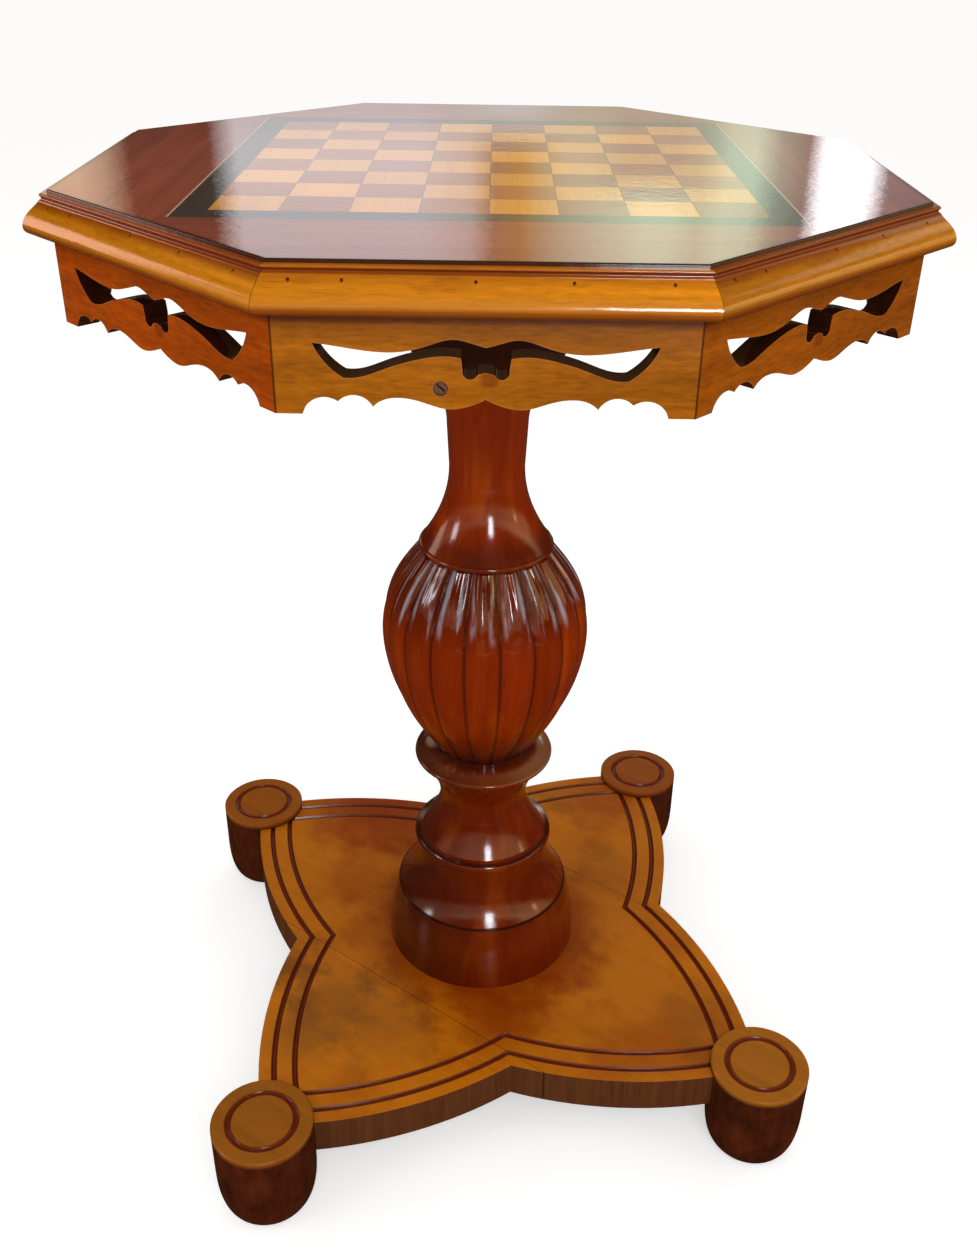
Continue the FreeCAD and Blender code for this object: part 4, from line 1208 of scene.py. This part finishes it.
class SetStudio(bpy.types.Operator):
    """Pale floor, soft lamps, the room that the varnish reflects, and the camera"""

    bl_idname = "chess_table.set_studio"
    bl_label = "Set the studio"

    def execute(self, context):
        studio = context.scene.table_studio
        context.scene.view_settings.view_transform = "Standard"
        context.scene.world = white_world(studio)
        pale_floor(context, studio)
        room_screen(context, studio)
        for name, (setting, *place) in LAMPS.items():
            lamp(context, name, *place, getattr(studio, setting))
        set_camera(context, studio)
        return {"FINISHED"}


OPERATORS = (
    FinishBoard, FinishBorder, FinishField, FinishMouldings, FinishAprons, FinishColumn,
    FinishBase, FinishFeet, FinishFrame, MakeApronScrew, SetStudio,
)
GROUPS = {"table_woods": TableWoods, "table_varnish": TableVarnish, "table_studio": TableStudio}


class TablePanel(bpy.types.Panel):
    """Settings of the table, and a button for each step"""

    bl_idname = "VIEW3D_PT_chess_table"
    bl_label = "Chess table"
    bl_space_type = "VIEW_3D"
    bl_region_type = "UI"
    bl_category = "Chess table"

    def draw(self, context):
        for name, group in GROUPS.items():
            column = self.layout.column()
            for setting in group.__annotations__:
                column.prop(getattr(context.scene, name), setting)
        for operator in OPERATORS:
            self.layout.operator(operator.bl_idname)


def register():
    for kind in (*GROUPS.values(), *OPERATORS, TablePanel):
        bpy.utils.register_class(kind)
    for name, group in GROUPS.items():
        setattr(bpy.types.Scene, name, PointerProperty(type=group))


def unregister():
    for name in GROUPS:
        delattr(bpy.types.Scene, name)
    for kind in (TablePanel, *reversed(OPERATORS), *reversed(GROUPS.values())):
        bpy.utils.unregister_class(kind)


def main():
    """Registers the add-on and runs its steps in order."""
    register()
    bpy.ops.chess_table.finish_board()
    bpy.ops.chess_table.finish_border()
    bpy.ops.chess_table.finish_field()
    bpy.ops.chess_table.finish_mouldings()
    bpy.ops.chess_table.finish_aprons()
    bpy.ops.chess_table.finish_column()
    bpy.ops.chess_table.finish_base()
    bpy.ops.chess_table.finish_feet()
    bpy.ops.chess_table.finish_frame()
    bpy.ops.chess_table.make_apron_screw()
    bpy.ops.chess_table.set_studio()


if __name__ == "__main__":
    main()
